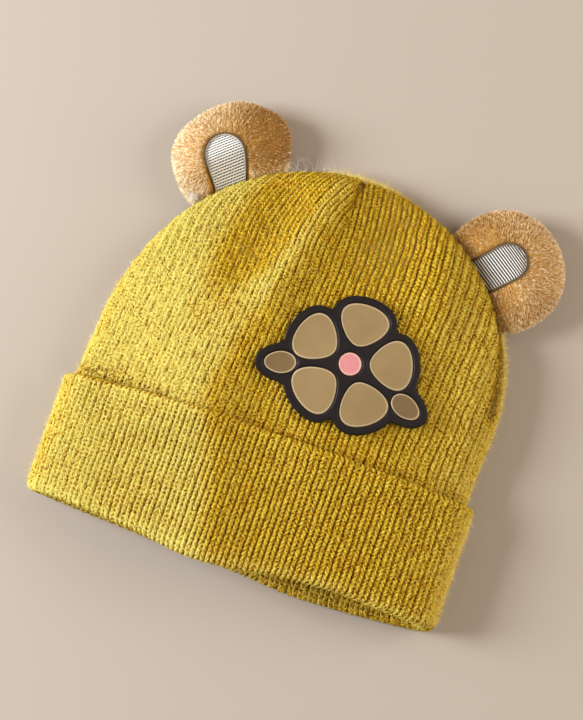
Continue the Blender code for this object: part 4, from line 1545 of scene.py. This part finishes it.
        # Painted shade on each spot, and painted light where its strength is below zero.
        for from_x, from_y, size, strength in self.painted_shade_spots:
            from_spot = np.hypot(root[:, 0] - self.centre[0] - from_x, root[:, 1] - self.centre[1] - from_y)
            shaded = strength * np.exp(-(from_spot**2) / (2.0 * size**2))
            tone = tone - shaded * (1.0 + 0.8 * ripple(root[:, 0], root[:, 1], 0.0015, seed + 4))
        tone = np.clip(tone + draw.normal(0.0, 0.19, self.hairs), 0.0, 1.0)
        clear = (self.outside_insert(root[:, 0], root[:, 1]) > 0.0008) | (np.cos(turn) < 0.0)
        kept = np.flatnonzero(clear)
        half = draw.uniform(0.00008, 0.00014, self.hairs)
        root = root + self.move
        return hairs(root[kept], ahead[kept], bend[kept], length[kept], half[kept], draw, tone[kept])

    def insert_plan(self, rows: int, columns: int) -> Array:
        """Plan points of the insert.

        Args:
            rows: Number of rows from the foot to the tip.
            columns: Number of points in a row.

        Returns:
            Rows straight across the strip, then narrowing round the tip.
        """
        shares, sides = np.linspace(0.0, 1.0, rows), np.linspace(-1.0, 1.0, columns)
        share, across = np.meshgrid(shares, sides, indexing="ij")
        straight = np.minimum(share / 0.55, 1.0)
        turn = np.clip((share - 0.55) / 0.45, 0.0, 1.0) * math.radians(89.0)
        start = -self.tuck - 0.003
        along = start + (self.length - self.insert_half - start) * straight + self.insert_half * np.sin(turn)
        half = self.insert_half * np.cos(turn) * self.narrowing(along)
        return self.foot_point + along[..., None] * self.ahead + (across * half)[..., None] * self.aside

    def narrowing(self, along: Array) -> Array:
        """Share of the insert's width at a distance from its foot."""
        return self.foot_width + (1.0 - self.foot_width) * smooth(along / (0.6 * self.length) + 0.1)

    def weave(self) -> Skin:
        """The woven insert.

        Returns:
            A sheet in the ear's dish, ridged by a power of a sine across its cords. Its
            UV map counts dots along a cord, and cords.
        """
        plan = self.insert_plan(170, 30)
        x, y = plan[..., 0], plan[..., 1]
        from_foot, turn = plan - self.foot_point, math.radians(self.weave_turn)
        along = from_foot @ np.array([math.cos(turn), math.sin(turn)]) / self.pitch
        aside = from_foot @ np.array([-math.sin(turn), math.cos(turn)]) / self.dot_pitch
        ridge = np.abs(np.sin(math.pi * along)) ** 0.6
        inside = smooth(-self.outside_insert(x, y) / 0.0012)
        z = self.front(x, y) + self.weave_lift + self.weave_swell * inside + self.cord_height * ridge
        points = np.stack([x, y, z], axis=-1) + self.move
        uv = np.stack([aside, along], axis=-1).reshape(-1, 2)
        return Skin(points.reshape(-1, 3), grid_faces(*x.shape), uv)

    def binding(self, out: float, thick: float, lift: float) -> Skin:
        """A thread laid round the insert's sides and tip.

        Args:
            out: Distance outside the insert's edge.
            thick: The thread's radius.
            lift: Height of its middle above the ear's front.

        Returns:
            A tube: circles of twelve points set along the outline.
        """
        half, straight = self.insert_half + out, self.length - self.insert_half
        steps = np.linspace(-1.0, 1.0, 181)
        turn = np.clip(steps / 0.46, -1.0, 1.0) * math.pi / 2
        leg = np.maximum(np.abs(steps) - 0.46, 0.0) / 0.54 * (straight + self.tuck + 0.002)
        along = straight + half * np.cos(turn) - leg
        across = half * np.sin(turn) * self.narrowing(along)
        plan = self.foot_point + along[:, None] * self.ahead + across[:, None] * self.aside
        middle = np.column_stack([plan, self.front(plan[:, 0], plan[:, 1]) + lift])
        ahead = unit(np.gradient(middle, axis=0))
        level = unit(np.cross(ahead, [0.0, 0.0, 1.0]))
        upright = np.cross(level, ahead)
        round_turn = np.linspace(0.0, FULL_TURN, 12, endpoint=False)
        ring = np.cos(round_turn)[:, None] * level[:, None] + np.sin(round_turn)[:, None] * upright[:, None]
        length = np.concatenate([[0.0], np.cumsum(np.linalg.norm(np.diff(middle, axis=0), axis=1))])[:, None]
        stitches = thick * (0.80 + 0.20 * np.cos(FULL_TURN * length / self.bead_pitch))
        points = middle[:, None] + stitches[..., None] * ring + self.move
        uv = np.stack(np.broadcast_arrays(round_turn / FULL_TURN, length / self.thread_pitch), axis=-1)
        faces = grid_faces(len(middle), 12, closed=True, flip=True)
        return Skin(points.reshape(-1, 3), faces, uv.reshape(-1, 2))

    def build(self, seed: int, plush: PlushFinish, satin: SatinFinish) -> None:
        """Makes the ear's pieces.

        Args:
            seed: Picks the hairs' places.
            plush: Finish of the cushion and its pile.
            satin: Finish of the insert and its threads.
        """
        name = f"ear_{self.side.value}"
        cushion = self.cushion().make(f"{name}_plush", plush.cloth(f"{name}_cloth"), Slot.PLUSH, name)
        self.coat(seed).make(f"{name}_pile", plush.pile(f"{name}_hair"), Slot.PLUSH)
        weave = satin.weave(f"{name}_cords", self.side is Side.LEFT)
        self.weave().make(f"{name}_weave", weave, Slot.INSERT, f"{name}_inner")
        light = satin.edge(f"{name}_light_thread", self.thread)
        dark = satin.edge(f"{name}_painted_shadow_thread", satin.painted_shadow_thread)
        self.binding(0.0001, 0.00040, 0.0010).make(f"{name}_binding", light, Slot.INSERT)
        # Painted shadow: a dark cord laid outside the binding, where the plush meets the insert.
        self.binding(0.0008, 0.00030, 0.0008).make(f"{name}_painted_shadow_cord", dark, Slot.INSERT)


@dataclass(frozen=True)
class RubberFinish:
    """Soft moulded rubber, matt, with a faint painted highlight along raised lips."""

    # Colour of the painted highlight on raised lips.
    pale: tuple = (0.720, 0.600, 0.420)

    def material(self, name: str, colour: tuple, grain: float = 0.05) -> bpy.types.Material:
        """A coloured rubber.

        Args:
            name: Name of the material.
            colour: Its colour.
            grain: How much the colour varies.

        Returns:
            A matt shader with a fine moulded texture, soft cloudiness and a painted
            highlight: a pale line where the mould's lip stands up.
        """
        recipe = Recipe(name)
        place = recipe.place()
        cloud = recipe.noise(place, 70.0, 3.0)
        speck = recipe.noise(place, 2200.0, 2.0, 0.7)
        value = (cloud * 0.7 + speck * 0.3).clamp()
        dark = tuple(part * (1.0 - 2.5 * grain) for part in colour)
        light = tuple(min(part * (1.0 + 2.5 * grain), 1.0) for part in colour)
        base = recipe.ramp(value, ((0.25, dark), (0.75, light)))
        painted_highlight = (recipe.attribute("shade") * 0.85).clamp()
        return recipe.finish(
            Base_Color=recipe.mix(painted_highlight, base, self.pale),
            Roughness=cloud * 0.10 + 0.50,
            Specular_IOR_Level=0.15,
            Normal=recipe.bump(speck, 0.00004, 0.6),
        )


@dataclass
class Patch:
    """The soft rubber patch: five petals, two leaves and a centre inside raised outlines."""

    form: HatForm
    finish: RubberFinish = field(default_factory=RubberFinish)
    aside: float = 0.0189
    above_cuff: float = 0.0097
    gap: float = 0.0008
    base_thickness: float = 0.0008
    fill_thickness: float = 0.0011
    fill_gap: float = 0.0004
    petals: int = 5
    centre_radius: float = 0.0052
    petal_radial: float = 0.0098
    petal_egg: float = 0.34
    leaf_length: float = 0.0068
    leaf_across: float = 0.0050
    ridge_width: float = 0.0033
    outline_width: float = 0.0035
    edge_radius: float = 0.0009
    leaf_point: float = 0.16
    pocket_lift: float = 0.0003
    ridge_lift: float = 0.0002
    skirt_depth: float = 0.0003
    fill_sunk: float = 0.0003
    fill_drop: float = 0.00045
    fill_rounding: float = 0.0005
    lip_inset: float = 0.00045
    lip_width: float = 0.0002
    lip_height: float = 0.00012

    def __post_init__(self) -> None:
        """Works out the sizes that follow from the others."""
        self.move = self.form.shift()
        self.petal_distance = self.centre_radius + self.ridge_width + self.petal_radial
        self.petal_across = self.petal_distance * math.tan(math.pi / self.petals) - 0.8 * self.ridge_width
        beside_petal = self.petal_distance + 0.2 * self.petal_radial
        self.leaf_distance = beside_petal + self.ridge_width + self.leaf_length
        reach = self.petal_distance + self.petal_radial + self.outline_width
        middle_y = self.form.cuff_height + self.above_cuff + reach
        self.centre = np.array([self.form.crown_lean + self.aside, middle_y])
        self.floor = self.gap + self.base_thickness
        self.top = self.floor + self.fill_gap + self.fill_thickness

    def oval(
        self, distance: float, direction: float, along: float, across: float, grow: float, egg: float = 0.0
    ) -> Array:
        """Outline of a fill.

        Args:
            distance: From the patch's centre to the fill's middle.
            direction: Angle of that line.
            along: Half the fill's size on that line.
            across: Half its size across it.
            grow: How far outside the fill the outline lies.
            egg: How much wider the outer end is.

        Returns:
            The points of an egg-shaped oval.
        """
        turns = np.linspace(0.0, FULL_TURN, 80, endpoint=False)
        local_x = distance + (along + grow) * np.cos(turns)
        local_y = (across * (1.0 + egg * np.cos(turns)) + grow) * np.sin(turns)
        cos, sin = math.cos(direction), math.sin(direction)
        return self.centre + np.stack([local_x * cos - local_y * sin, local_x * sin + local_y * cos], axis=-1)

    def fills(self, grow: float) -> dict[str, Array]:
        """Outlines of the coloured fills.

        Args:
            grow: How far outside each fill its outline lies.

        Returns:
            The petals, the leaves with their drawn-out tips, and the round centre.
        """
        outlines, turn = {}, FULL_TURN / self.petals
        petal, leaf_size = (self.petal_radial, self.petal_across), (self.leaf_length, self.leaf_across)
        for number in range(self.petals):
            direction = math.pi / 2 + turn * number
            outline = self.oval(self.petal_distance, direction, *petal, grow, self.petal_egg)
            outlines[f"petal_{number + 1}"] = outline
        for number, place in enumerate((1.5, self.petals - 1.5)):
            direction = math.pi / 2 + turn * place
            leaf = self.oval(self.leaf_distance, direction, *leaf_size, grow)
            facing = np.array([math.cos(direction), math.sin(direction)])
            middle = self.centre + self.leaf_distance * facing
            away = leaf - middle
            point = np.clip(unit(away) @ facing, 0.0, 1.0) ** 6
            outlines[f"leaf_{number + 1}"] = middle + away * (1.0 + self.leaf_point * point)[:, None]
        outlines["flower_centre"] = self.oval(0.0, 0.0, self.centre_radius, self.centre_radius, grow)
        return outlines

    @staticmethod
    def distance(points: Array, loop: Array) -> Array:
        """Distance of points outside a closed loop.

        Args:
            points: The points.
            loop: Corners of the loop.

        Returns:
            The distance to the nearest side, negative where a ray from the point
            crosses the loop an odd number of times.
        """
        after = np.roll(loop, -1, axis=0)
        edge = after - loop
        best = np.full(len(points), np.inf)
        crossings = np.zeros(len(points), int)
        for start, run, end in zip(loop, edge, after):
            away = points - start
            share = np.clip((away @ run) / (run @ run), 0.0, 1.0)
            best = np.minimum(best, np.hypot(*(away - share[:, None] * run).T))
            spans = (start[1] > points[:, 1]) != (end[1] > points[:, 1])
            rise = run[1] if abs(run[1]) > 1e-12 else 1e-12
            crossings += spans & (away[:, 0] < away[:, 1] * run[0] / rise)
        return np.where(crossings % 2 == 1, -best, best)

    def reach(self, turns: Array) -> Array:
        """Distance from the patch's centre to its outer edge.

        Args:
            turns: Directions, evenly round the patch.

        Returns:
            The farthest crossing with any fill's enlarged outline, smoothed a little.
        """
        best = np.zeros(len(turns))
        ray = np.stack([np.cos(turns), np.sin(turns)], axis=-1)
        for outline in self.fills(self.outline_width).values():
            away = outline - self.centre
            after = np.roll(away, -1, axis=0)
            side = away[:, 0, None] * ray[:, 1] - away[:, 1, None] * ray[:, 0]
            side_after = after[:, 0, None] * ray[:, 1] - after[:, 1, None] * ray[:, 0]
            share = side / (side - side_after + 1e-15)
            hits = away[:, None] + share[..., None] * (after - away)[:, None]
            far = np.where(side * side_after <= 0.0, (hits * ray).sum(axis=-1), 0.0)
            best = np.maximum(best, far.max(axis=0))
        width = max(3, len(turns) // 60)
        kernel = np.hanning(2 * width + 1)
        padded = np.concatenate([best[-width:], best, best[:width]])
        return np.convolve(padded, kernel / kernel.sum(), mode="valid")

    def outline(self) -> Skin:
        """The dark base: one relief whose ridges are round between the fills.

        Returns:
            Rings from the centre to the outer edge, over it and down to the knit.
        """
        turns = np.linspace(0.0, FULL_TURN, 360, endpoint=False)
        reach = self.reach(turns)
        shares = np.concatenate([np.linspace(0.01, 0.965, 54), 1.0 - 0.035 * np.linspace(0.85, 0.0, 7) ** 2])
        share, turn = np.meshgrid(shares, turns, indexing="ij")
        distance = share * reach
        x = self.centre[0] + distance * np.cos(turn)
        y = self.centre[1] + distance * np.sin(turn)
        plan = np.stack([x, y], axis=-1).reshape(-1, 2)
        near = np.min([self.distance(plan, loop) for loop in self.fills(0.0).values()], axis=0)
        ridge = smooth((near.reshape(x.shape) + 0.0002) / 0.0012) ** 0.6
        from_edge = np.clip((1.0 - share) * reach / self.edge_radius, 0.0, 1.0)
        rounding = np.sqrt(np.clip(1.0 - (1.0 - from_edge) ** 2, 0.0, 1.0))
        low, high = self.floor + self.pocket_lift, self.top + self.ridge_lift
        z = self.form.front_height(x, y) + low + (high - low) * ridge * (0.35 + 0.65 * rounding)
        rings = np.stack([x, y, z], axis=-1)
        skirt = rings[-1:].copy()
        skirt[0, :, 2] = self.form.front_height(x[-1], y[-1]) - self.skirt_depth
        rings = np.concatenate([rings, skirt])
        pole = rings[0].mean(axis=0, keepdims=True)
        points = np.concatenate([rings.reshape(-1, 3), pole]) + self.move
        return Skin(points, ring_faces(*rings.shape[:2], last_pole=False, flip=True))

    def fill(self, loop: Array) -> Skin:
        """One coloured fill.

        Args:
            loop: Its outline.

        Returns:
            Rings on a level face with a rounded edge, a little below the outlines. Its
            shade is 1 on the raised lip, where the finish paints a highlight.
        """
        middle = loop.mean(axis=0)
        shares = np.concatenate([np.linspace(0.10, 0.88, 9), [0.91, 0.94, 0.97, 0.99, 1.0, 1.01]])
        plan = middle + shares[:, None, None] * (loop - middle)
        size = float(np.hypot(*(loop - middle).T).mean())
        from_edge = np.clip((1.0 - shares) * size, 0.0, None)
        drop = self.fill_drop * (1.0 - np.clip(from_edge / self.fill_rounding, 0.0, 1.0)) ** 2
        drop[-1] = self.fill_thickness
        ground = self.form.front_height(plan[..., 0], plan[..., 1])
        lip = np.exp(-(((from_edge - self.lip_inset) / self.lip_width) ** 2))
        z = ground + (self.top - self.fill_sunk - drop + self.lip_height * lip)[:, None]
        rings = np.concatenate([plan, z[..., None]], axis=-1)
        pole = rings[0].mean(axis=0, keepdims=True)
        points = np.concatenate([rings.reshape(-1, 3), pole]) + self.move
        # The shade attribute marks the lip for the painted highlight.
        shade = np.append(np.repeat(lip, len(loop)), 0.0)
        return Skin(points, ring_faces(*rings.shape[:2], last_pole=False, flip=True), None, shade)

    def build(self) -> None:
        """Makes the patch's pieces."""
        dark = self.finish.material("patch_dark_rubber", (0.013, 0.010, 0.011), 0.08)
        self.outline().make("patch_outline_relief", dark, Slot.OUTLINE, "patch_base")
        colours = {
            "petal": ("patch_tan_rubber", (0.291, 0.205, 0.097), Slot.TAN),
            "leaf": ("patch_taupe_rubber", (0.184, 0.122, 0.057), Slot.TAUPE),
            "flower": ("patch_pink_rubber", (0.600, 0.236, 0.258), Slot.PINK),
        }
        made = {kind: self.finish.material(name, colour) for kind, (name, colour, _) in colours.items()}
        for node, loop in self.fills(0.0).items():
            kind = node.split("_")[0]
            self.fill(loop).make(f"{node}_rubber", made[kind], colours[kind][2], node)


@dataclass(frozen=True)
class Studio:
    """Floor, lights and camera."""

    azimuth: float = 19.2
    elevation: float = 84.0
    distance: float = 0.95
    view_height: float = 0.3268
    centre: tuple = (-0.0061, -0.0029, 0.010)
    floor_colour: tuple = (0.405, 0.355, 0.308)

    def floor(self) -> None:
        """A wide matt floor."""
        mesh = bpy.data.meshes.new("floor")
        corners = [(-3.0, -3.0, 0.0), (3.0, -3.0, 0.0), (3.0, 3.0, 0.0), (-3.0, 3.0, 0.0)]
        mesh.from_pydata(corners, [], [(0, 1, 2, 3)])
        recipe = Recipe("floor_paper")
        mesh.materials.append(recipe.finish(Base_Color=(*self.floor_colour, 1.0), Roughness=0.9))
        link("floor", mesh)

    def light(self, name: str, place: tuple, size: float, power: float, colour: tuple) -> None:
        """A square soft light that faces the hat.

        Args:
            name: Name of the light.
            place: Where it stands.
            size: Length of its side.
            power: Power in watts.
            colour: Its colour.
        """
        data = bpy.data.lights.new(name, "AREA")
        data.size, data.energy, data.color = size, power, colour
        made = link(name, data)
        made.location = place
        made.rotation_euler = (Vector(self.centre) - Vector(place)).to_track_quat("-Z", "Y").to_euler()

    def sky(self, colour: tuple, strength: float) -> None:
        """Even light from all round.

        Args:
            colour: Its colour.
            strength: Its strength.
        """
        world = bpy.data.worlds.new("studio")
        world.use_nodes = True
        back = world.node_tree.nodes["Background"]
        back.inputs["Color"].default_value = (*colour, 1.0)
        back.inputs["Strength"].default_value = strength
        bpy.context.scene.world = world

    def camera(self) -> None:
        """The photograph's view: its long side covers view_height at the hat."""
        data = bpy.data.cameras.new("camera")
        data.sensor_width = 36.0
        data.lens = data.sensor_width * self.distance / self.view_height
        turn, rise = math.radians(self.azimuth), math.radians(self.elevation)
        away = Vector((math.sin(turn) * math.cos(rise), -math.cos(turn) * math.cos(rise), math.sin(rise)))
        made = link("camera", data)
        made.location = Vector(self.centre) + away * self.distance
        made.rotation_euler = (-away).to_track_quat("-Z", "Y").to_euler()
        bpy.context.scene.camera = made

    def build(self) -> None:
        """Sets the stage."""
        self.floor()
        self.light("key_light", (-1.16, -0.19, 0.60), 0.60, 33.0, (0.95, 0.98, 1.0))
        self.light("fill_light", (1.10, 0.50, 0.62), 1.00, 15.0, (1.0, 0.93, 0.82))
        self.sky((1.0, 0.83, 0.66), 0.45)
        self.camera()
        bpy.context.scene.view_settings.view_transform = "Standard"


def main() -> None:
    """Builds the stage and every piece in order."""
    logging.basicConfig(level=logging.INFO, format="%(message)s")
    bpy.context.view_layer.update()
    Studio().build()
    form = HatForm()
    Knit(form).build()
    left = Ear(
        side=Side.LEFT,
        form=form,
        place=127.1,
        foot=130.2,
        turn=119.5,
        reach=0.770,
        weave_turn=131.0,
        pitch=0.00110,
        foot_width=0.80,
        painted_shade_spots=(
            (0.0130, 0.0165, 0.0088, 1.20),
            (-0.0180, -0.0060, 0.0130, -0.20),
            (-0.0110, -0.0170, 0.0095, -0.32),
        ),
        insert_half=0.0086,
        stands_out=0.0112,
        thread=(0.62, 0.56, 0.47),
    )
    right = Ear(
        side=Side.RIGHT,
        form=form,
        place=45.8,
        foot=47.9,
        turn=42.8,
        reach=0.735,
        weave_turn=54.0,
        pitch=0.00108,
        foot_width=0.96,
        painted_shade_spots=((-0.0177, 0.0150, 0.0080, 0.50), (-0.0004, -0.0208, 0.0075, 0.50)),
        insert_half=0.0079,
        stands_out=0.0089,
        thread=(0.31, 0.23, 0.15),
    )
    plush, satin = PlushFinish(), SatinFinish()
    left.build(41, plush, satin)
    right.build(51, plush, satin)
    Patch(form).build()


if __name__ == "__main__":
    main()
